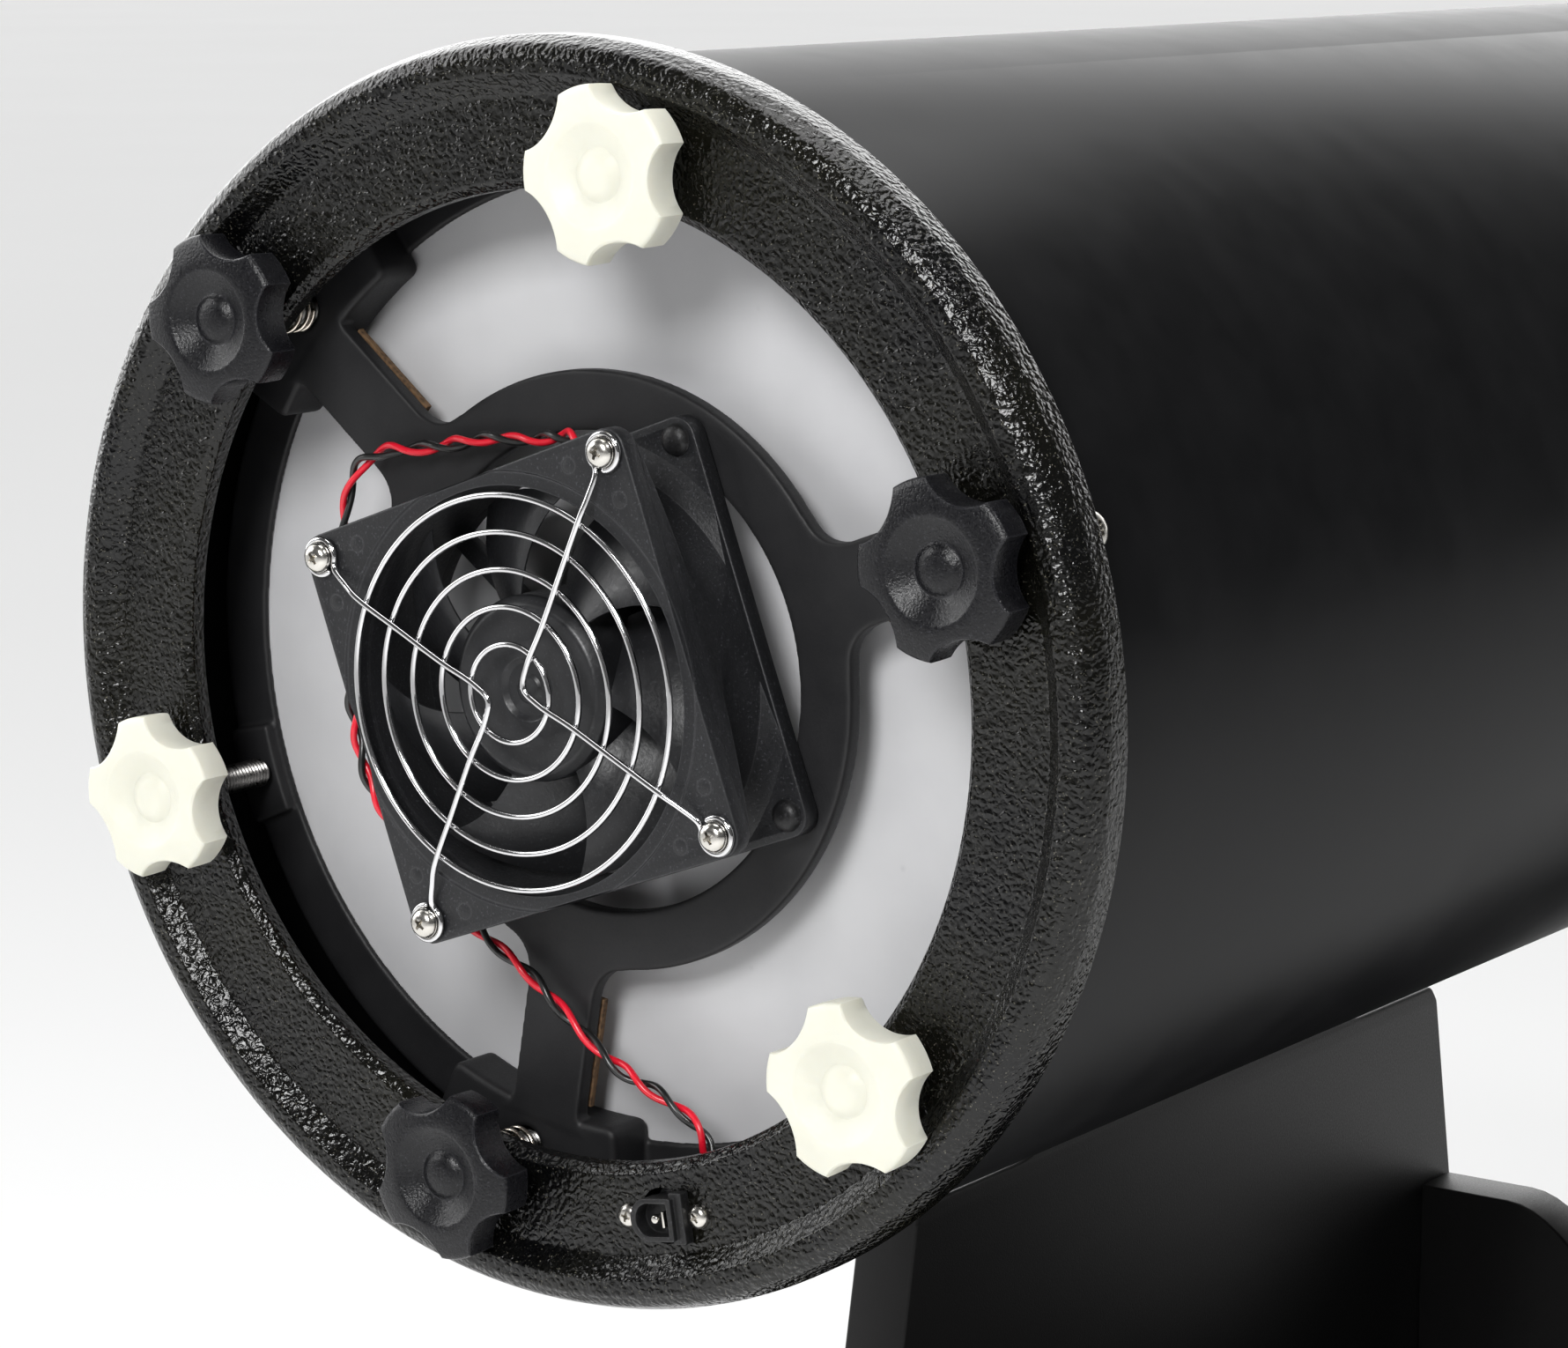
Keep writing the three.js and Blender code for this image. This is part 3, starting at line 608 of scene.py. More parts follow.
def board_laminate():
    m = Mat("board_laminate")
    grain = m.noise(1500, 3, 0.7)
    streak = m.noise(30, 4, 0.65, m.mapping((1, 0.18, 1)))
    pore = m.rng(m.voro(950), 0.0, 0.32, 0, 1)
    col = m.mix(m.rng(streak, 0.35, 0.65, 0, 1), (0.0062, 0.0061, 0.0062), (0.0095, 0.0092, 0.0092))
    # painted highlight: the board's rounded edges are lighter, as if light caught them
    col = m.mix(m.math("MULTIPLY", m.edge(0.0012), 0.22), col, (0.06, 0.058, 0.056))
    h = m.math("ADD", m.math("MULTIPLY", grain, 0.7), m.math("MULTIPLY", pore, 0.3))
    m.bs(color=col, rough=m.rng(grain, 0.3, 0.7, 0.42, 0.56), spec=0.26, normal=m.bump(h, 0.5, 0.00014))
    return m.m


def rubber():
    m = Mat("rubber_black")
    g = m.noise(1700, 3, 0.7)
    dust = m.noise(45, 4, 0.7)
    col = m.mix(m.rng(dust, 0.4, 0.75, 0, 1), (0.012, 0.012, 0.012), (0.032, 0.031, 0.03))
    m.bs(color=col, rough=m.rng(g, 0.3, 0.7, 0.7, 0.85), normal=m.bump(g, 0.6, 0.00015))
    return m.m


def cork():
    m = Mat("cork_strip")
    g = m.voro(900)
    col = m.mix(m.rng(g, 0, 0.7, 0, 1), (0.035, 0.018, 0.008), (0.15, 0.085, 0.04))
    m.bs(color=col, rough=0.85, normal=m.bump(g, 0.7, 0.0003))
    return m.m


def insulation(name, c0, c1):
    m = Mat(name)
    g = m.noise(900, 2, 0.5)
    mid = m.noise(140, 2, 0.5)
    col = m.mix(m.rng(mid, 0.35, 0.65, 0, 1), c0, c1)
    m.bs(color=col, rough=m.rng(g, 0.3, 0.7, 0.27, 0.38), spec=0.5, normal=m.bump(g, 0.3, 0.00005), coat=0.2)
    return m.m


M = {
    "hammer": hammer_paint(),
    "tube": black_steel(),
    "cast": cast_black(),
    "ivory": plastic("ivory_plastic", (0.64, 0.635, 0.55), (0.68, 0.675, 0.59), 0.42, 700, 0.00006, spec=0.3, sss=0.25),
    # the edge amounts and colours below set painted edge highlights on the black plastics
    "knob": plastic("black_sparkle_plastic", (0.0030, 0.0030, 0.0042), (0.0048, 0.0048, 0.0060), 0.30, 1900, 0.00020, spec=0.30, sparkle=0.18, edge=0.25, edge_highlight_col=(0.07, 0.07, 0.08)),
    "plastic": plastic("black_moulded_plastic", (0.0065, 0.0065, 0.007), (0.0095, 0.0095, 0.010), 0.4, 1400, 0.00012, spec=0.34, sparkle=0.2, edge=0.3, edge_highlight_col=(0.06, 0.06, 0.062)),
    "fan": plastic("fan_plastic", (0.0095, 0.0098, 0.011), (0.0135, 0.0138, 0.0152), 0.42, 1500, 0.00010, spec=0.34, sparkle=0.3, edge=0.3, edge_highlight_col=(0.09, 0.09, 0.095)),
    "blade": plastic("fan_blade_plastic", (0.011, 0.0113, 0.0125), (0.0155, 0.0158, 0.0172), 0.34, 1300, 0.00006, spec=0.38, sparkle=0.15),
    "chrome": metal("chrome_plate", (0.66, 0.66, 0.67), (0.52, 0.51, 0.50), 0.10, 700, 0.00002),
    "nickel": metal("nickel_plate", (0.62, 0.60, 0.56), (0.46, 0.44, 0.40), 0.2, 900, 0.00004),
    "steel": metal("zinc_steel", (0.62, 0.61, 0.59), (0.42, 0.41, 0.39), 0.28, 800, 0.00005, (1, 1, 1), 0.5),
    "spring": metal("spring_steel", (0.72, 0.66, 0.58), (0.45, 0.38, 0.31), 0.2, 900, 0.00003, (1, 1, 1), 0.5),
    "anod": metal("black_anodised", (0.035, 0.036, 0.040), (0.022, 0.022, 0.025), 0.34, 1500, 0.00004, (1, 1, 1), 0.5),
    "glass": ground_glass(),
    "mirror": metal("aluminised_mirror", (0.93, 0.94, 0.95), (0.90, 0.91, 0.93), 0.02, 60, 0.0, (1, 1, 1), 0.3),
    "board": board_laminate(),
    "rubber": rubber(),
    "cork": cork(),
    "stud": metal("blackened_stud_steel", (0.16, 0.155, 0.15), (0.09, 0.085, 0.08), 0.3, 800, 0.00005, (1, 1, 1), 0.5),
    "nylon": plastic("white_nylon", (0.74, 0.73, 0.68), (0.80, 0.79, 0.75), 0.45, 900, 0.00005, spec=0.4, sss=0.15),
    "red": insulation("red_insulation", (0.62, 0.006, 0.020), (0.72, 0.010, 0.030)),
    "lens": plastic("coated_lens", (0.004, 0.006, 0.010), (0.006, 0.009, 0.016), 0.06, 300, 0.0, spec=0.9, coat=0.6),
    "black": insulation("black_insulation", (0.007, 0.007, 0.007), (0.012, 0.012, 0.012)),
}

# ================================================================ rear end ring
CELL, FANA, KR = 18.5, 20.3, 97.0
JX, JZ = polar(101, -75.5)
p = fil([(114.8, 10.6), (119.2, 10.6, 0.5), (119.2, 4.6, 4.5), (117.6, 0.3, 3.0), (115.2, -1.0, 2.0), (112.2, -1.0, 1.1), (108.4, 2.4, 1.3),
         (92.9, 2.4, 0.9), (91.2, 4.1, 0.7), (91.2, 7.4, 0.4), (114.8, 7.4)], n=6)
ring = lathe(p, 288)
lugs = [spin(plate(fil([(106.5, -7, 1), (112.6, -7, 0.3), (112.6, 7, 0.3), (106.5, 7, 1)], n=3), [], 6.9, 21, 0.4), CELL + 60 * k) for k in range(6)]
cutters = []
for k in range(6):
    x, z = polar(KR, CELL + 60 * k)
    cutters.append(move(lathe([(0, -5), (3.6, -5), (3.6, 12), (0, 12)], 24), x, 0, z))
cutters.append(move(lathe([(0, -5), (5.4, -5), (5.4, 12), (0, 12)], 32), JX, 0, JZ))
ring = boolean(ring, [join(*cutters)])
make("rear_ring_painted", join(ring, *lugs), M["hammer"], "ota", "rear_ring", angle=50)

# ================================================================ tube
wall = lathe([(113.7, 7.8), (114.35, 7.8), (114.5, 8.0), (114.5, 1149.8), (114.35, 1150), (113.7, 1150)], 256)
hole = move(lathe([(0, 90), (31, 90), (31, 130), (0, 130)], 64, "Z"), 0, 1000, 0)
make("tube_rolled", boolean(wall, [hole]), M["tube"], "ota", "tube", angle=40)

# ================================================================ small screws


def phillips(r, h, recess=0.52, shank=None, n=32):
    """Pan head, seat at height 0, top towards -Y, with a cross recess."""
    prof = [(0, -h), (r * 0.35, -h * 0.985), (r * 0.62, -h * 0.9), (r * 0.84, -h * 0.66), (r * 0.96, -h * 0.36), (r, -h * 0.12), (r * 0.985, 0), (0, 0)]
    g = lathe(fil(prof, False), n)
    a, w = r * recess, r * 0.13
    arms = []
    for k in range(2):
        o = [(-a, -w * 0.75), (a, -w * 0.75), (a, w * 0.75), (-a, w * 0.75)]
        top = [(x, -h * 1.3, z * 1.25) for x, z in o]
        bot = [(x * 0.45, -h * 0.35, z * 0.8) for x, z in o]
        arms.append(rot(loft([top, bot]), "Y", 90 * k))
    cone = lathe([(0, -h * 1.3), (r * 0.27, -h * 1.3), (r * 0.14, -h * 0.4), (0, -h * 0.3)], 12)
    g = boolean(g, arms + [cone])
    if shank:
        g = join(g, lathe([(0, -0.1), (shank[0], -0.1), (shank[0], shank[1]), (0, shank[1])], 16))
    return g


PAN = phillips(3.5, 1.9)
PAN_S = phillips(2.4, 1.5)


# ================================================================ star knobs
def star_knob(stud):
    """Five lands with scallops between, coned dish with a domed boss. The face is at 0 and the hub towards +Y."""
    R0, rc, Rc = 16.2, 9.7, 22.2
    deg = []
    for k in range(5):
        deg += list(np.linspace(72 * k - 12.8, 72 * k + 12.8, 13)) + list(np.linspace(72 * k + 12.8, 72 * k + 59.2, 29))[1:-1]
    th = np.radians(deg)
    n = len(th)
    R = np.full(n, R0)
    for k in range(5):
        d = (th - rad(36 + 72 * k) + math.pi) % (2 * math.pi) - math.pi
        disc = np.maximum(rc ** 2 - (Rc * np.sin(d)) ** 2, 0)
        R = np.where(np.abs(d) < rad(23.3), np.minimum(R, Rc * np.cos(d) - np.sqrt(disc)), R)
    c, s = np.cos(th), np.sin(th)

    def ringed(r, y):
        return np.stack([r * c, np.full(n, float(y)) if np.isscalar(y) else y, r * s], 1)
    fall = lambda r: 1.3 * np.clip((r - 9.9) / 6.3, 0, 1) ** 1.5
    loops = []
    for r, y in ((0.02, 1.15), (1.5, 1.2), (2.8, 1.42), (3.7, 1.78), (4.3, 2.2), (4.7, 2.5), (4.95, 2.55), (5.3, 2.4), (6.6, 1.65), (8.0, 0.9), (9.1, 0.3), (9.45, 0.09), (9.8, 0.0)):
        loops.append(ringed(np.full(n, r), y))
    Rf = R - 0.5
    for t in (0.3, 0.62, 0.86, 1.0):
        r = 9.8 + (Rf - 9.8) * t
        loops.append(ringed(r, fall(r)))
    loops.append(ringed(R - 0.14, fall(R) + 0.18))
    loops.append(ringed(R, fall(R) + 0.55))
    loops.append(ringed(R - 0.04, 4.8))
    loops.append(ringed(R - 0.2, 8.1))
    loops.append(ringed(R - 0.65, 8.6))
    for r, y in ((8.3, 8.6), (8.0, 8.9), (7.8, 12.2), (7.4, 12.4), (0.02, 12.4)):
        loops.append(ringed(np.full(n, r), y))
    body = loft(loops)
    y0, y1 = 12.3, 12.4 + stud
    prof = [(0, y0)]
    y = y0
    while y < y1 - 1.2:
        prof += [(2.88, y), (2.88, y + 0.2), (2.5, y + 0.5), (2.5, y + 0.62)]
        y += 0.92
    prof += [(2.4, y), (2.0, y1), (0, y1)]
    return body, lathe(prof, 28)


kn_black, st_black = star_knob(25.2)
kn_white, st_white = star_knob(22.4)
BLACK_TURN, WHITE_TURN = (38, 40, -4), (35, 33, 31)
for k in range(3):
    x, z = polar(KR, CELL + 120 * k)
    b = f"collimation_knob_{k + 1}"
    make(b + "_moulding", move(spin(kn_black, BLACK_TURN[k]), x, -10.4, z), M["knob"], b, b, angle=28)
    make(b + "_stud", move(st_black, x, -10.4, z), M["stud"], b)
    x, z = polar(KR, CELL + 60 + 120 * k)
    b = f"lock_knob_{k + 1}"
    make(b + "_moulding", move(spin(kn_white, WHITE_TURN[k]), x, -10.4, z), M["ivory"], b, b, angle=28)
    make(b + "_stud", move(st_white, x, -10.4, z), M["stud"], b)

# springs on the collimation bolts, with closed ends
for k in range(3):
    x, z = polar(KR, CELL + 120 * k)
    t = np.linspace(0, 1, 260)
    y = 8.4 + 7.6 * np.interp(t, [0, 0.16, 0.84, 1], [0, 0.07, 0.93, 1])
    a = 2 * math.pi * 4 * t
    P = np.stack([x + 3.95 * np.cos(a), y, z + 3.95 * np.sin(a)], 1)
    make(f"collimation_spring_{k + 1}_wire", sweep(P, 0.48, 10), M["spring"], "ota", f"collimation_spring_{k + 1}")

# ================================================================ mirror cell
# flat plate with a middle ring and three arms, arms ending in blocks on the lipped outer ring
ARM, PR, PF = 20.6, 16.8, 20.6


def arm_outline():
    """Straight arm, 15.6 wide, with a fillet into the middle ring and a smaller one at the block."""
    xs = [50] + list(np.linspace(54.5, 63.5, 14)) + list(np.linspace(86, 90.8, 10))
    hw = []
    for x in xs:
        h = 7.8
        if x < 63.5:
            h += 7.0 * (1 - math.sqrt(max(0, 1 - min(1, (63.5 - x) / 8.0) ** 2)))
        if x > 86:
            h += 4.6 * (1 - math.sqrt(max(0, 1 - min(1, (x - 86) / 5.0) ** 2)))
        hw.append(h)
    return [(x, -h) for x, h in zip(xs, hw)] + [(x, h) for x, h in zip(xs[::-1], hw[::-1])]


def arc_block(r0, r1, mid, half, corner):
    a = [polar(r0, mid - half + 2 * half * i / 20) for i in range(21)]
    b = [polar(r1, mid + half - 2 * half * i / 20) for i in range(21)]
    pts = [(*a[0], corner)] + a[2:-2] + [(*a[-1], corner), (*b[0], corner)] + b[2:-2] + [(*b[-1], corner)]
    return fil(pts, n=5)


drill = [move(lathe([(0, 10), (3.7, 10), (3.7, 40), (0, 40)], 32), polar(KR, CELL + 120 * k)[0], 0, polar(KR, CELL + 120 * k)[1]) for k in range(3)]
lip = lathe(fil([(92.7, 27, 0.5), (103.8, 27, 1.0), (103.8, 46, 0.5), (101.9, 46, 0.4), (101.9, 28.3), (92.7, 28.3, 0.2)]), 200)
parts = [lathe(fil([(45.6, PR, 0.6), (57, PR, 0.6), (57, PF, 0.4), (45.6, PF, 0.4)]), 160),
         boolean(lip, [join(*drill)])]
for k in range(3):
    parts.append(spin(plate(arm_outline(), [], PR, PF, 0.5), ARM + 120 * k))
for k in range(3):
    x, z = polar(KR, CELL + 120 * k)
    blk = plate(arc_block(88.5, 103.8, CELL + 120 * k, 13, 2.2), [circle(3.6, 32, x, z)], PR + 0.2, 28.2, 1.1)
    parts.append(blk)
    x, z = polar(KR, CELL + 60 + 120 * k)
    parts.append(plate(arc_block(93.6, 103.8, CELL + 60 + 120 * k, 5.5, 1.6), [], 24.9, 28.2, 0.8))
make("mirror_cell_casting", voxel(join(*parts), 0.5, 2), M["cast"], "cell", "mirror_cell", angle=60)
corks = [spin(plate([(64, -7.98), (86, -7.98), (86, 7.98), (64, 7.98)], [], PF + 0.1, PF + 1.5, 0.15), ARM + 120 * k) for k in range(3)]
make("cell_cork_strips", join(*corks), M["cork"], "cell")

# primary mirror, ground back and polished front
dish = [(r, 51.0 + 2.1 * (r / 101.3) ** 2) for r in np.linspace(0, 100.6, 14)]
mir = lathe([(0, 28.5), (60, 28.5), (100.5, 28.5), (101.0, 28.7), (101.3, 29.2), (101.3, 52.4), (101.0, 52.9)] + dish[::-1], 160)
ob = make("primary_mirror_glass", mir, M["glass"], "cell", "primary_mirror", angle=30)
ob.data.materials.append(M["mirror"])
for poly in ob.data.polygons:
    if poly.normal.y > 0.9:
        poly.material_index = 1
clips = []
for k in range(3):
    clips.append(spin(clip_piece(), CELL + 30 + 120 * k))
make("mirror_clips", join(*clips), M["plastic"], "cell")

# ================================================================ fan
H = 40.0


def fan_flange(y0, y1, cone):
    """Square flange with rounded corners, a round opening and four screw holes."""
    out = fil([(-H, -H, 4.2), (H, -H, 4.2), (H, H, 4.2), (-H, H, 4.2)], n=6)
    holes = [circle(38.1, 96)] + [circle(2.2, 20, 35.75 * sx, 35.75 * sz) for sx in (-1, 1) for sz in (-1, 1)]
    return plate(out, holes, y0, y1, 0.35)


square = plate(fil([(-39.7, -39.7, 4), (39.7, -39.7, 4), (39.7, 39.7, 4), (-39.7, 39.7, 4)], n=6), [], -8.4, 16.2, 0.3)
flare = lathe([(38.1, -8.2), (56, -8.2), (56, -5.0), (41.2, -0.6), (40.1, 1.6), (39.8, 5.0), (40.1, 8.4), (41.2, 11.0), (44.5, 12.3), (56, 14.6), (56, 16.0), (38.1, 16.0)], 128)
duct = boolean(flare, [square], "INTERSECT")
near = boolean(fan_flange(-8.6, -4.8, True), [lathe([(0, -10), (42.0, -10), (41.0, -8.6), (38.2, -5.4), (0, -5.4)], 128)])
fan = [near, fan_flange(12.6, 16.4, False), duct]
motor = lathe(fil([(0, 13.0), (16.2, 13.0, 0.8), (17, 14, 0.6), (17, 16.4, 0.5), (0, 16.4)], False), 64)
fan.append(motor)
for k in range(4):
    bar = plate([(14, -2.3), (39, -1.9), (39, 1.9), (14, 2.3)], [], 13.4, 16.0, 0.35)
    fan.append(rot(bar, "Y", 45 + 90 * k + 12))
# ejector marks beside the screw holes, low round pads
for sx in (-1, 1):
    for sz in (-1, 1):
        for dx, dz in ((9.0, 0), (0, 9.0)):
            fan.append(move(lathe([(0, -8.66), (1.15, -8.66), (1.3, -8.6), (1.5, -8.62), (1.6, -8.4), (0, -8.4)], 20), (35.75 - dx) * sx, 0, (35.75 - dz) * sz))
make("fan_frame_moulding", spin(join(*fan), FANA), M["fan"], "cell", "fan_frame", angle=35)

# impeller
hub = lathe(fil([(0, -4.55), (1.5, -4.6), (2.2, -4.9, 0.3), (2.9, -4.4, 0.3), (5.0, -4.4), (6.0, -5.3, 0.8), (15.8, -5.4, 1.6), (17.5, -3.7, 1.2), (17.6, 11.3, 0.3), (14, 11.5), (0, 11.5)], False, 5), 96)
blades = [hub]
for k in range(7):
    c0 = 2 * math.pi * k / 7
    nr, nc = 14, 12
    top, bot = [], []
    for i in range(nr):
        t = i / (nr - 1)
        r = 16.9 + (36.5 - 16.9) * t
        chord = 0.57 + (-0.09) * t                    # angular half width
        mid = c0 + 0.02 - 0.30 * t - 0.10 * t * t      # sweeps back towards the tip
        ya, yb = -3.2 + 0.5 * t, 10.0 - 1.4 * t
        rt, rb = [], []
        for j in range(nc):
            u = j / (nc - 1)
            ang = mid + (u - 0.5) * 2 * chord * 0.78
            y = ya + (yb - ya) * (u ** 1.25)
            th = (1.7 - 0.7 * t) * (0.25 + 0.75 * math.sin(math.pi * min(1, max(0, u)) ** 0.8)) / 2
            # offset across the blade
            x, z = r * math.cos(ang), r * math.sin(ang)
            dy = (yb - ya) * 1.25 * max(u, 0.03) ** 0.25
            da = 2 * chord * 0.78 * r
            L = math.hypot(dy, da)
            nt, ny = dy / L, -da / L
            tx, tz = -math.sin(ang), math.cos(ang)
            rt.append((x + tx * nt * th, y + ny * th, z + tz * nt * th))
            rb.append((x - tx * nt * th, y - ny * th, z - tz * nt * th))
        top.append(rt)
        bot.append(rb)
    loops = [np.array(a + b[::-1]) for a, b in zip(top, bot)]
    blades.append(loft(loops))
make("fan_impeller_moulding", spin(join(*blades), FANA), M["blade"], "fan", "fan_impeller", angle=40)

# guard: five rings behind two bent struts, with an eyelet at each end
g = []
for R in (9.1, 16, 22.9, 29.8, 36.6):
    a = np.linspace(0, 2 * math.pi, 140, endpoint=False)
    g.append(sweep(np.stack([R * np.cos(a), np.full(140, -10.3), R * np.sin(a)], 1), 0.6, 10, True))
c = 35.75
for s in (1, -1):
    pts = []
    for cz in (1, -1):
        leg = [(-s * (c - 2.7), -9.6, cz * (c - 3.2)), (-s * (c - 5.0), -10.5, cz * (c - 6.6)), (-s * (c - 7.4), -11.35, cz * (c - 9.6)), (-s * 20.5, -11.45, cz * 17.8),
               (-s * 12.5, -11.45, cz * 9.3), (-s * 6.6, -11.45, cz * 3.6)]
        a_in = math.atan2(leg[0][2] - cz * c, leg[0][0] + s * c)
        turn = cz * s
        loop = []
        for i in range(22):
            aa = a_in + turn * (2 * math.pi * 0.93) * (1 - i / 21)
            loop.append((-s * c + 3.3 * math.cos(aa), -9.3, cz * c + 3.3 * math.sin(aa)))
        pts.append(loop[:-1] + leg)
    path = pts[0] + [(-s * 4.4, -11.45, 0)] + pts[1][::-1]
    g.append(sweep(catmull(path, 6), 0.6, 10))
make("fan_guard_wire", spin(join(*g), FANA), M["chrome"], "cell", "fan_guard", angle=60)

n = 1
for sx, sz in ((-1, 1), (1, 1), (1, -1), (-1, -1)):
    head = join(move(spin(phillips(2.9, 1.9), (17, 52, 8, 33)[n - 1]), 0, -9.9, 0), thread(1.65, -10.0, -2.2, 0.7, 18))
    make(f"fan_screw_{n}_nickel", spin(move(head, c * sx, 0, c * sz), FANA), M["nickel"], "cell", f"fan_screw_{n}")
    n += 1
far = []
for sx, sz in ((-1, 1), (1, 1), (1, -1), (-1, -1)):
    far.append(spin(move(lathe(fil([(0, 10.9), (1.6, 11.0), (2.7, 11.6), (3.1, 12.5), (0, 12.5)], False), 24), c * sx, 0, c * sz), FANA))
make("fan_far_screws", join(*far), M["plastic"], "cell")

# ================================================================ power socket
def dee(s, left, right):
    """Outline with a round left and a flatter right side."""
    return fil([(-5.2 * s, -4.1 * s, left * s), (4.5 * s, -4.1 * s, right * s), (4.5 * s, 4.1 * s, right * s), (-5.2 * s, 4.1 * s, left * s)], n=8)


SOCK = 9.0
sock = [plate(dee(1.0, 4.05, 0.5), [dee(0.76, 4.05, 0.4)], -1.4, 2.4, 0.2), plate(dee(0.95, 4.05, 0.5), [], 1.9, 10.5, 0.2),
        plate(fil([(3.4, -4.9, 0.4), (6.3, -4.9, 0.4), (6.3, 4.9, 0.4), (3.4, 4.9, 0.4)]), [], -0.2, 2.3, 0.2)]
make("dc_socket_housing", move(rot(join(*sock), "Y", -SOCK), JX, 0, JZ), M["plastic"], "ota", "dc_socket")
pin = [lathe(fil([(0, -1.0), (0.75, -0.8, 0.3), (0.95, -0.3, 0.3), (0.8, 0.4), (0.8, 2.4), (0, 2.4)], False), 20), move(plate([(-0.25, -1.5), (0.25, -1.5), (0.25, 1.5), (-0.25, 1.5)], [], -0.9, 2.2, 0.08, "Y"), 2.1, 0, 0)]
make("dc_socket_pin", move(rot(join(*pin), "Y", -SOCK), JX, 0, JZ), M["nickel"], "ota")
js = []
for s, tw in ((-1, 20), (1, 63)):
    js.append(move(join(rot(PAN_S, "Y", tw), lathe([(0, -0.2), (1.1, -0.2), (1.1, 0), (0, 0)], 12)), 8.1 * s, 2.35, 0))
make("dc_socket_screws", move(rot(join(*js), "Y", -SOCK), JX, 0, JZ), M["nickel"], "ota")

# ================================================================ fan cable: a red and a black wire, twisted
CABLE = [[3.5, 9.0, 43.4], [-1, 10.2, 45.0], [-4.6, 11.2, 45.0], [-12.8, 12, 43.5], [-21.2, 12.3, 43.3], [-32.2, 12.5, 41.2], [-41, 12.5, 39.7],
         [-47.6, 12.3, 38.9], [-54.2, 12, 35.6], [-57.0, 11.8, 30], [-58.3, 11.6, 22.6], [-58.5, 10.8, 12], [-57.0, 10, 2], [-55.0, 9.2, -5.8], [-53.8, 9, -14.2],
         [-51.4, 9.2, -24.4], [-46.8, 10, -32.0], [-38, 11.4, -42.5], [-25.2, 12.5, -53.2], [-14.8, 13, -59.4], [-4.6, 13.5, -67.5], [5.8, 13.5, -74.5],
         [18.0, 13.5, -79.5], [25.8, 13.8, -84.6], [27.0, 13.9, -89.6], [26.3, 13.5, -94.5], [25.3, 13.0, -97.8]]
P = catmull(CABLE, 40)
d = np.r_[0, np.cumsum(np.linalg.norm(np.diff(P, axis=0), axis=1))]
u = np.linspace(0, d[-1], 640)
P = np.stack([np.interp(u, d, P[:, i]) for i in range(3)], 1)
T, N, B = frames(P)
slack = 1 + 0.25 * np.sin(u * 0.19 + 0.6) * np.sin(u * 0.071)
ph = 2 * math.pi * (u + 2.2 * np.sin(u * 0.05)) / 15.5 + 0.9
for name, k, mat in (("red", 0, "red"), ("black", 1, "black")):
    a = ph + math.pi * k
    W = P + 0.84 * slack[:, None] * (np.cos(a)[:, None] * N + np.sin(a)[:, None] * B)
    make("fan_cable_" + name, sweep(W, 0.68, 12), M[mat], "ota", "fan_cable")

# tube fixing screws, through the tube into the ring's lugs
tsc = []
for k in range(6):
    s = rot(move(PAN, 0, 0, 0), "Y", 13 * k)
    # head's top towards +X, then round the tube
    V = np.stack([-s[0][:, 1] + 114.5, s[0][:, 0] + 15.2, s[0][:, 2]], 1)
    tsc.append(spin((V, s[1]), CELL + 60 * k))
make("tube_fixing_screws", join(*tsc), M["nickel"], "ota")

# ================================================================ rocker box and boards
AX, SH, PZ0 = 604.0, 397.0, 66.3
half = [(151.5 + 0.2 * (SH - PZ0), PZ0), (152.0, SH - 5, 5), (148.0, SH, 4), (102 - 0, SH)]
half += [(102 - 40 * math.sin(rad(90 * i / 16)), SH + 40 - 40 * math.cos(rad(90 * i / 16))) for i in range(1, 16)]
half += [(62, SH + 40), (62, AX + 4, 12), (43.5, AX + 4, 1.5), (41.5, AX + 2, 0.5)]
cr = [(41.5 * math.cos(rad(-180 * i / 48)), AX + 41.5 * math.sin(rad(-180 * i / 48))) for i in range(1, 48)]
panel = fil(half + cr + [(-p[0], *p[1:]) for p in half[::-1]], n=5)
for s, nme in ((-1, "left"), (1, "right")):
    x0 = -159 if s < 0 else 140
    make(f"side_panel_{nme}_board", plate(panel, [], x0, x0 + 19, 0.9, "X"), M["board"], "rocker", f"side_panel_{nme}", BASE, 30)
    arc = [(41.0 * math.cos(rad(-6 - 168 * i / 40)), AX + 41.0 * math.sin(rad(-6 - 168 * i / 40))) for i in range(41)]
    arc += [(38.6 * math.cos(rad(-174 + 168 * i / 40)), AX + 38.6 * math.sin(rad(-174 + 168 * i / 40))) for i in range(41)]
    make(f"cradle_liner_{nme}_pad", plate(arc, [], x0 + 0.6, x0 + 18.4, 0.4, "X"), M["nylon"], "rocker", f"cradle_liner_{nme}", BASE, 30)
FPT = AX - 272
top = []
for i in range(0, 49):
    t = i / 48
    x = 109 - 218 * t
    w = min(1, min(t, 1 - t) / 0.36)
    top.append((x, FPT - 62 * (0.5 - 0.5 * math.cos(math.pi * w))))
fp = [(-139.7, PZ0), (139.7, PZ0), (139.7, FPT, 0.8)] + top + [(-139.7, FPT, 0.8)]
make("front_panel_board", plate(fil(fp), [], 143, 162, 0.9, "Y"), M["board"], "rocker", "front_panel", BASE, 30)


def round_board(z0, z1, r=270, hole=5.4):
    return lathe(fil([(hole, z0), (r, z0, 1.2), (r, z1, 1.2), (hole, z1)], n=3), 224, "Z")


make("ground_board_round", round_board(20, 39), M["board"], "ground", "ground_board", BASE, 30)
make("turntable_board_round", round_board(47, 66), M["board"], "rocker", "turntable_board", BASE, 30)

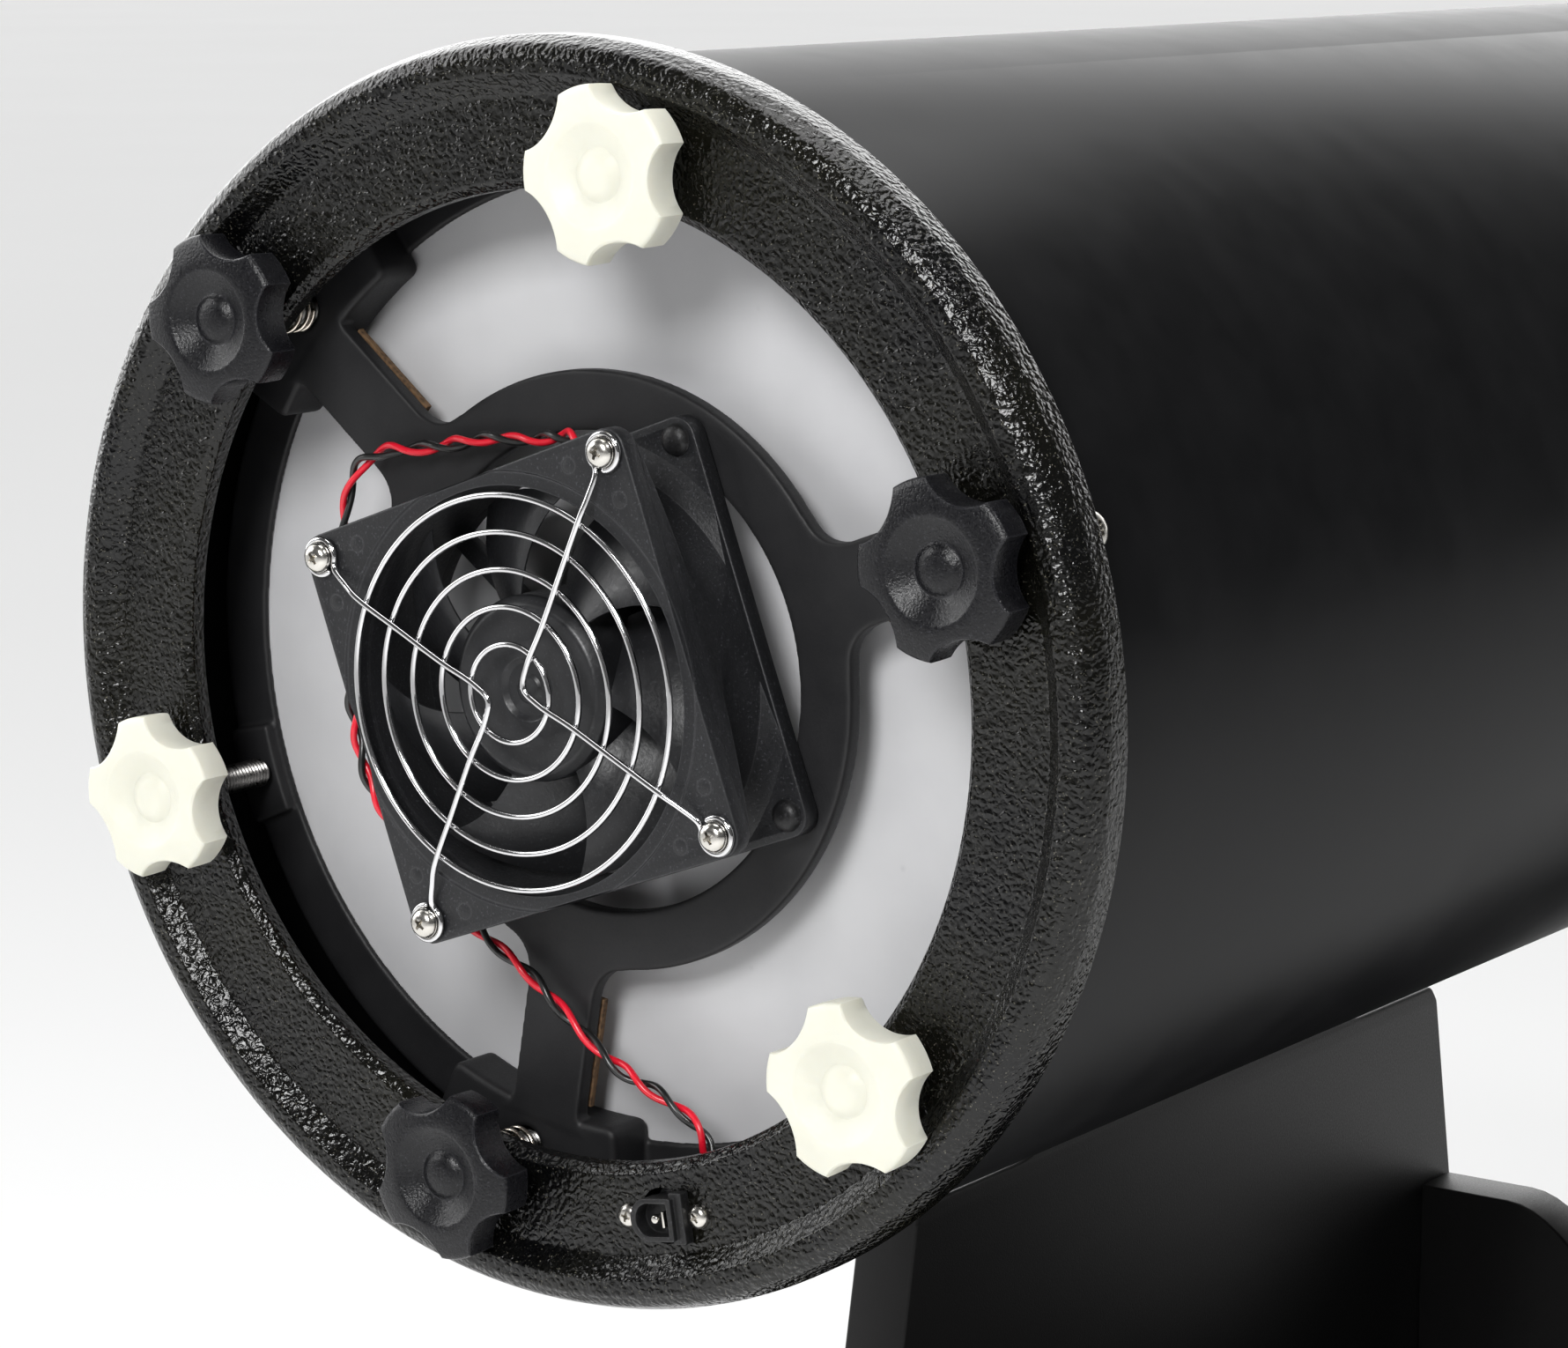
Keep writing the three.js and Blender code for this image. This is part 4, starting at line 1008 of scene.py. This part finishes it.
# panel fastenings: bolt heads through the side panels into the front panel and the board
bolts = []
for sx in (-1, 1):
    for y, z in ((152.5, 120), (152.5, 215), (152.5, 300), (-96, 86), (0, 86), (96, 86)):
        V, F = lathe(fil([(0, -0.35), (2.3, -0.35), (2.5, -0.9), (4.6, -1.3, 0.3), (5.6, -0.9, 0.4), (5.9, 0), (0, 0)], False), 28)
        V = np.stack([-V[:, 1] * sx, V[:, 0], V[:, 2]], 1)
        bolts.append(((V + [159 * sx, y, z]), F if sx > 0 else [q[::-1] for q in F]))
make("panel_bolts", join(*bolts), M["steel"], "rocker", off=BASE)

# ================================================================ front end
make("front_ring_painted", lathe(fil([(114.8, 1138, 0.2), (118.5, 1138, 1.2), (118.5, 1156, 1.6), (116, 1160, 1.2), (113, 1160, 0.9), (111.6, 1157, 0.7), (111.6, 1150.3), (114.8, 1150.3)], n=5), 256), M["hammer"], "ota", "front_ring", angle=50)
sp = [lathe(fil([(0, 1052), (13, 1052, 0.8), (15, 1054, 0.6), (15, 1086, 1.5), (12, 1092, 1), (0, 1093)], False, 4), 64)]
scr = []
for k in range(4):
    sp.append(spin(rbox(11, 113.0, 1057, 1083, -0.6, 0.6, 2.5, 0.2), 45 + 90 * k))
    for y in (1063, 1077):
        V, F = PAN
        V = np.stack([-V[:, 1] + 114.5, V[:, 0] + y, V[:, 2]], 1)
        scr.append(spin((V, F), 45 + 90 * k))
make("spider_vanes", join(*sp), M["tube"], "ota", "spider")
for k in range(3):
    x, z = polar(9, 90 + 120 * k)
    scr.append(move(lathe(fil([(0, 1090.5), (2.6, 1090.5), (2.6, 1094.6, 0.4), (1.4, 1094.6), (1.3, 1092.6), (0, 1092.6)], False), 20), x, 0, z))
for k in range(6):
    V, F = PAN
    V = np.stack([-V[:, 1] + 118.5, V[:, 0] + 1147, V[:, 2]], 1)
    scr.append(spin((V, F), 30 + 60 * k))
make("front_end_screws", join(*scr), M["nickel"], "ota")

wedge = move(rot(rbox(-60, 60, -200, 0, -60, 60, 1, 0.1), "X", -45), 0, 1007.4, 0)
hold = lathe(fil([(0, 960), (23.5, 960), (23.5, 1046, 1.2), (0, 1046)], False), 96)
make("secondary_holder_moulding", boolean(hold, [wedge]), M["plastic"], "secondary", "secondary_holder")
slab = move(rot(rbox(-60, 60, -7, 0, -60, 60, 1, 0.1), "X", -45), 0, 1007.0, 0)
ob = make("secondary_mirror_glass", boolean(lathe([(0, 940), (25, 940), (25, 1060), (0, 1060)], 128), [slab], "INTERSECT"), M["mirror"], "secondary", "secondary_mirror")
ob.data.materials.append(M["glass"])
for poly in ob.data.polygons:
    if poly.normal.y > -0.6:
        poly.material_index = 1

# focuser
plinth = boolean(rbox(-44, 44, 956, 1044, 96, 125, 7, 1.2), [lathe([(0, 900), (114.8, 900), (114.8, 1100), (0, 1100)], 192)])
col = move(lathe(fil([(29.8, 118), (37, 118), (37, 126, 0.5), (35.8, 127.5, 0.5), (35.8, 152, 0.5), (37, 153.5, 0.5), (37, 162, 0.9), (29.8, 162, 0.4)], n=4), 96, "Z"), 0, 1000, 0)
shaft_hole = move(lathe([(0, -60), (3.3, -60), (3.3, 60), (0, 60)], 32, "X"), 0, 962, 145)
bore = move(lathe([(0, 60), (29.8, 60), (29.8, 200), (0, 200)], 96, "Z"), 0, 1000, 0)
block = boolean(rbox(-21, 21, 953, 980, 124.5, 158, 3, 0.9), [bore, shaft_hole])
make("focuser_casting", join(boolean(plinth, [bore]), boolean(col, [shaft_hole]), block), M["anod"], "ota", "focuser_body")
fs = []
for sx in (-1, 1):
    for sy in (-1, 1):
        fs.append(move(rot(PAN, "X", -90), 37.5 * sx, 1000 + 37.5 * sy, 124.9))
for sx in (-1, 1):
    fs.append(move(rot(PAN_S, "X", -90), 15 * sx, 958, 157.9))
make("focuser_screws", join(*fs), M["nickel"], "ota")
dt = [(25.6, 98), (29.3, 98, 0.4), (29.3, 170, 0.2), (33, 171, 0.6), (33, 175, 0.3), (32.4, 175.6), (32.4, 177), (33, 177.6, 0.3), (33, 190, 0.9), (25.6, 190, 0.4)]
make("focuser_drawtube_turned", move(lathe(fil(dt, n=4), 112, "Z"), 0, 1000, 0), M["chrome"], "drawtube", "focuser_drawtube")
make("focus_shaft_turned", move(lathe(fil([(0, -52), (2.9, -52, 0.4), (2.9, 52, 0.4), (0, 52)], False), 32, "X"), 0, 962, 145), M["steel"], "focus_knobs", "focus_shaft")
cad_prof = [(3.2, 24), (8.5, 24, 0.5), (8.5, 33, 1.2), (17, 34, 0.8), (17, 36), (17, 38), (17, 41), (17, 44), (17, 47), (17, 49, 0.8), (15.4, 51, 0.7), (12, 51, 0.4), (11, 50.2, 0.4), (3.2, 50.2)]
fkn = knurl(lathe(fil(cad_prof, n=4), 288, "X"), "X", 15.6, 36, 0.7)
make("focus_knob_right_turned", move(fkn, 0, 962, 145), M["rubber"], "focus_knobs", "focus_knob_right")
make("focus_knob_left_turned", move(mirror_x(fkn), 0, 962, 145), M["rubber"], "focus_knobs", "focus_knob_left")
ep = [(0, 150), (14.2, 150), (15.5, 150.8, 0.3), (15.5, 158), (25.2, 158, 0.5), (25.2, 190.4), (31.5, 190.4, 0.5), (31.5, 199, 1.0), (20, 200, 0.8), (21.5, 206.5, 0.6),
      (21.5, 208), (21.5, 211), (21.5, 214), (21.5, 217), (21.5, 220), (21.5, 223), (21.5, 226, 0.8), (19.5, 236, 1.6), (12, 237.5, 0.7), (10, 234, 0.4), (0, 233.4)]
ob = make("eyepiece_turned", move(knurl(lathe(fil(ep, False, 4), 240, "Z"), "Z", 20.6, 40, 0.5), 0, 1000, 0), M["anod"], "drawtube", "eyepiece")
ob.data.materials.append(M["lens"])
ob.data.materials.append(M["rubber"])
for poly in ob.data.polygons:
    v = poly.center
    r = math.hypot(v.x, v.y * 1 - (1000 - 573.5) / 1000)
    h = v.z - 0.604
    poly.material_index = 1 if (r < 0.0099 and h > 0.2) else (2 if 0.206 < h < 0.228 and r > 0.0195 else 0)

# finder
LEAN, FR, FY = 40, 172, 905
shoe = boolean(rbox(-20, 20, FY - 32, FY + 32, 104, 123, 3, 0.8), [lathe([(0, 800), (114.9, 800), (114.9, 1000), (0, 1000)], 192)])
fb = [shoe, rbox(-11, 11, FY - 26, FY + 26, 120.5, 134, 2, 0.8)]
for s0 in (-1, 1):
    yy = FY + 15 * s0
    fb.append(rbox(-9, 9, yy - 9, yy + 9, 131, FR - 32, 2, 0.7))
    fb.append(move(lathe(fil([(31.5, yy - 9, 0.5), (36, yy - 9, 0.9), (36, yy + 9, 0.9), (31.5, yy + 9, 0.5)], n=4), 96), 0, 0, FR))
make("finder_bracket_casting", rot(join(*fb), "Y", LEAN), M["anod"], "ota", "finder_bracket")
th = []
for s0 in (-1, 1):
    for a in (90, 210, 330):
        V, F = join(knurl(lathe(fil([(0, -8), (3.6, -8, 0.5), (3.6, -4, 0.5), (0, -4)], False), 96), "Y", 3.0, 24, 0.35), thread(1.5, -4.2, 0.4, 0.7, 16))
        V = np.stack([-V[:, 1] + 35.8, V[:, 0], V[:, 2]], 1)
        th.append(move(spin((V, F), a), 0, FY + 15 * s0, FR))
make("finder_adjusting_screws", rot(join(*th), "Y", LEAN), M["nickel"], "ota")
fp2 = [(0, 775), (9.5, 775, 0.5), (11, 771, 0.8), (16, 773, 1.2), (16, 776), (16, 779), (16, 782), (16, 785), (16, 790, 1), (14, 792, 0.6), (14, 806, 0.8), (18, 812, 1.2), (18, 838, 1.5), (26.2, 852, 2), (26.2, 955, 1.5), (29, 962, 1.2),
       (29, 1010, 0.6), (27.2, 1010, 0.4), (25.5, 1007), (25.5, 1000), (18, 1001.4), (9, 1002.2), (0, 1002.5)]
ob = make("finder_scope_turned", rot(move(lathe(fil(fp2, False, 4), 128), 0, 0, FR), "Y", LEAN), M["tube"], "finder", "finder_scope")
ob.data.materials.append(M["lens"])
for poly in ob.data.polygons:
    if abs(poly.normal.y) > 0.8 and (poly.center.y > 0.4255 and poly.center.y < 0.4295 or abs(poly.center.y - 0.2015) < 0.0003):
        poly.material_index = 1

# altitude rails, bearings and tension knobs
flipx = lambda g, sx: g if sx > 0 else mirror_x(g)
rail = boolean(rbox(108, 124, 489 - 120, 489 + 120, -19, 19, 1.5, 0.8), [lathe([(0, 300), (114.9, 300), (114.9, 700), (0, 700)], 192),
                                                                    rbox(122.4, 126, 489 - 112, 489 + 112, -6, 6, 1, 0.1)])
hubp = [(0, 124.3), (47, 124.3, 1.0), (47, 136.5, 1.4), (40, 136.5, 0.8), (38, 137.4, 0.3), (38, 162, 0.8), (36, 164, 0.6), (30, 164, 0.5), (29, 163.1, 0.4), (17, 163.1, 0.4), (16, 164, 0.4), (0, 164)]
hub = move(lathe(fil(hubp, False, 4), 128, "X"), 0, 489, 0)
knob_r = lambda t: 23.5 + 2.5 * math.cos(8 * t)
kp = [(-0.02, 168), (1.8, 168), (0.5, 168.4), (0, 169.4), (0, 177), (0, 184.2), (0.5, 185.4), (1.6, 186), (7, 186), (9, 185.2), (12, 184.2), (-6, 184.0), (-0.02, 184.6)]
akn = join(move(lobed(knob_r, kp, "X"), 0, 489, 0), move(lathe(fil([(0, 164.4), (13, 164.4, 0.6), (13, 169), (0, 169)], False), 48, "X"), 0, 489, 0))
rs = []
for sx, nme in ((1, "right"), (-1, "left")):
    make(f"altitude_rail_{nme}_extrusion", flipx(rail, sx), M["anod"], "ota", f"altitude_rail_{nme}")
    make(f"altitude_bearing_{nme}_moulding", flipx(hub, sx), M["plastic"], "ota", f"altitude_bearing_{nme}")
    make(f"altitude_knob_{nme}_moulding", flipx(akn, sx), M["knob"], f"altitude_knob_{nme}", f"altitude_knob_{nme}")
    for y in (-104, -64, 64, 104):
        V, F = PAN_S
        V = np.stack([-V[:, 1] + 122.4, V[:, 0] + 489 + y, V[:, 2]], 1)
        rs.append(flipx((V, F), sx))
make("altitude_rail_screws", join(*rs), M["nickel"], "ota")

# ================================================================ base
foot = knurl(lathe(fil([(0, 0), (22, 0, 0.8), (24, 0.8, 0.8), (27, 3, 1.0), (27.4, 6), (27.8, 9), (28.3, 13), (28.7, 17), (29, 19.7, 0.8), (0, 19.7)], False, 4), 288, "Z"), "Z", 26, 36, 0.6)
for k in range(3):
    x, y = polar(232, 90 + 120 * k)
    make(f"foot_{k + 1}_rubber", move(foot, x, y, 0), M["rubber"], "ground", f"foot_{k + 1}", off=BASE)
hexo = [polar(9, 60 * k) for k in range(6)]
make("pivot_bolt_steel", join(plate([(x, y, 0.5) for x, y in hexo], [], 12.5, 19.6, 0.6, "Z"), thread(4.9, 19.4, 86, 1.25, 32, "Z")), M["steel"], "ground", "pivot_bolt", off=BASE)
for nme, z0, body in (("lower_race", 39.3, "ground"), ("upper_race", 45.5, "rocker")):
    make(nme + "_stamped", lathe(fil([(118, z0, 0.3), (158, z0, 0.3), (158, z0 + 1.2, 0.3), (118, z0 + 1.2, 0.3)], n=3), 192, "Z"), M["steel"], body, nme, off=BASE)
cage = [lathe(fil([(122, 42.1, 0.4), (154, 42.1, 0.4), (154, 43.9, 0.4), (122, 43.9, 0.4)], n=3), 192, "Z")]
for k in range(12):
    roller = lathe(fil([(0, 127), (2.2, 127, 0.4), (2.2, 149, 0.4), (0, 149)], False), 24, "X")
    cage.append(rot(move(roller, 0, 0, 43), "Z", 30 * k))
make("roller_cage_nylon", join(*cage), M["nylon"], "roller_cage", "roller_cage", off=BASE)
azp = [(-5.5, 70), (1.5, 70), (0.4, 70.4), (0, 71.4), (0, 76), (0, 80.4), (0.5, 81.5), (1.6, 82), (9, 82), (11, 81.2), (-9, 81), (-7, 82), (-5.5, 82), (-5.5, 70)]
azk = lobed(lambda t: 24 + 2.5 * math.cos(5 * t), azp, cap=False)
azk = join(azk, lathe(fil([(5.4, 66.4), (14, 66.4, 0.5), (14, 71), (5.4, 71)], n=3), 64, "Z"))
make("azimuth_knob_moulding", azk, M["knob"], "azimuth_knob", "azimuth_knob", off=BASE)
hz, hy = 604 - 400, 162.3
bar = catmull([[-60, hy + 1, hz], [-60, hy + 22, hz], [-57.5, hy + 31, hz], [-50, hy + 35, hz], [-25, hy + 35.8, hz], [0, hy + 36, hz], [25, hy + 35.8, hz], [50, hy + 35, hz], [57.5, hy + 31, hz], [60, hy + 22, hz], [60, hy + 1, hz]], 14)
hd = [sweep(bar, 4.8, 32)]
for sx in (-1, 1):
    hd.append(move(lathe(fil([(0, hy), (10, hy, 0.3), (10, hy + 2.6, 0.8), (7, hy + 4, 0.8), (0, hy + 4)], False), 64), 60 * sx, 0, hz))
make("carry_handle_bent", join(*hd), M["chrome"], "rocker", "carry_handle", off=BASE)
x0, rz = 159.3, 604 - 262
shelf = plate(fil([(x0, -84), (x0 + 66, -84, 8), (x0 + 66, 84, 8), (x0, 84)], n=8), [circle(25.8, 96, x0 + 36, -48), circle(16.3, 72, x0 + 36, 10), circle(16.3, 72, x0 + 36, 56)], rz - 2.5, rz, 0.35, "Z")
back = plate(fil([(-84, rz - 40, 5), (84, rz - 40, 5), (84, rz), (-84, rz)], n=6), [], x0, x0 + 2.5, 0.35, "X")
make("eyepiece_rack_sheet", join(shelf, back), M["tube"], "rocker", "eyepiece_rack", off=BASE)
rk = []
for y in (-60, 60):
    V, F = PAN
    rk.append((np.stack([-V[:, 1] + x0 + 2.5, V[:, 0] + y, V[:, 2] + rz - 24], 1), F))
make("eyepiece_rack_screws", join(*rk), M["nickel"], "rocker", off=BASE)

# ================================================================ CAD nodes still showing take their finish here
FIN = {"board": "board", "tube_paint": "tube", "hammertone": "hammer", "cast_cell": "cast", "ivory_plastic": "ivory", "black_plastic": "plastic", "chrome": "chrome",
       "ground_glass": "glass", "mirror": "mirror", "rubber": "rubber", "nylon": "nylon", "cable": "black", "anodised": "anod", "fan_plastic": "fan", "zinc_steel": "steel"}
slot_of = {}
for mt in frame["record"]["materials"]:
    for nd in mt.get("nodes", []):
        slot_of[nd] = mt["slot"]
for nme, ob in frame["nodes"].items():
    ob.data.materials.clear()
    ob.data.materials.append(M[FIN[slot_of.get(nme, "black_plastic")]])

# ================================================================ floor and light
me = bpy.data.meshes.new("floor")
me.from_pydata([(-40, -40, 0), (40, -40, 0), (40, 40, 0), (-40, 40, 0)], [], [(0, 1, 2, 3)])
floor = bpy.data.objects.new("floor", me)
scene.collection.objects.link(floor)
fm = Mat("floor_pale")
fm.bs(color=fm.mix(fm.noise(0.7, 3), (0.86, 0.86, 0.86), (0.90, 0.90, 0.90)), rough=0.85, spec=0.15)
me.materials.append(fm.m)

world = bpy.data.worlds.new("studio")
scene.world = world
world.use_nodes = True
wt = world.node_tree
bg = wt.nodes["Background"]
tc = wt.nodes.new("ShaderNodeTexCoord")
sep = wt.nodes.new("ShaderNodeSeparateXYZ")
wt.links.new(tc.outputs["Generated"], sep.inputs[0])
mr = wt.nodes.new("ShaderNodeMapRange")
mr.interpolation_type = "SMOOTHSTEP"
for i, v in enumerate((0.30, 1.0, 0.10, 3.3)):
    mr.inputs[i + 1].default_value = v
mx = wt.nodes.new("ShaderNodeMath")
mx.operation = "MULTIPLY_ADD"
mx.inputs[1].default_value, mx.inputs[2].default_value = -1.1, 0.0
wt.links.new(sep.outputs["X"], mx.inputs[0])
my = wt.nodes.new("ShaderNodeMath")
my.operation = "MULTIPLY_ADD"
my.inputs[1].default_value = 0.8
wt.links.new(sep.outputs["Y"], my.inputs[0])
wt.links.new(mx.outputs[0], my.inputs[2])
wt.links.new(my.outputs[0], mr.inputs[0])
wt.links.new(mr.outputs[0], bg.inputs["Strength"])
bg.inputs["Color"].default_value = (1.0, 1.0, 1.0, 1)


def area(name, loc, target, size, power, sy=None, color=(1, 1, 1)):
    d = bpy.data.lights.new(name, "AREA")
    d.shape, d.size, d.size_y, d.energy, d.color = "RECTANGLE", size, sy or size, power, color
    o = bpy.data.objects.new(name, d)
    scene.collection.objects.link(o)
    o.location = loc
    o.rotation_mode = "QUATERNION"
    o.rotation_quaternion = (Vector(target) - Vector(loc)).to_track_quat("-Z", "Y")
    return o


C = Vector((0, -0.57, 0.6))
area("key", C + Vector((0.55, -1.9, 1.15)), C, 0.75, 44, 0.75)
area("rim", C + Vector((1.5, -0.35, 1.6)), C, 0.3, 14, 0.3)
area("left", C + Vector((-1.7, -1.1, 0.9)), C, 0.5, 9, 0.8)
area("top", C + Vector((0.1, 0.3, 1.9)), C, 0.8, 14, 1.4)
scene.view_settings.view_transform = "Standard"
scene.view_settings.look = "None"
scene.view_settings.exposure = 0
scene.view_settings.gamma = 1
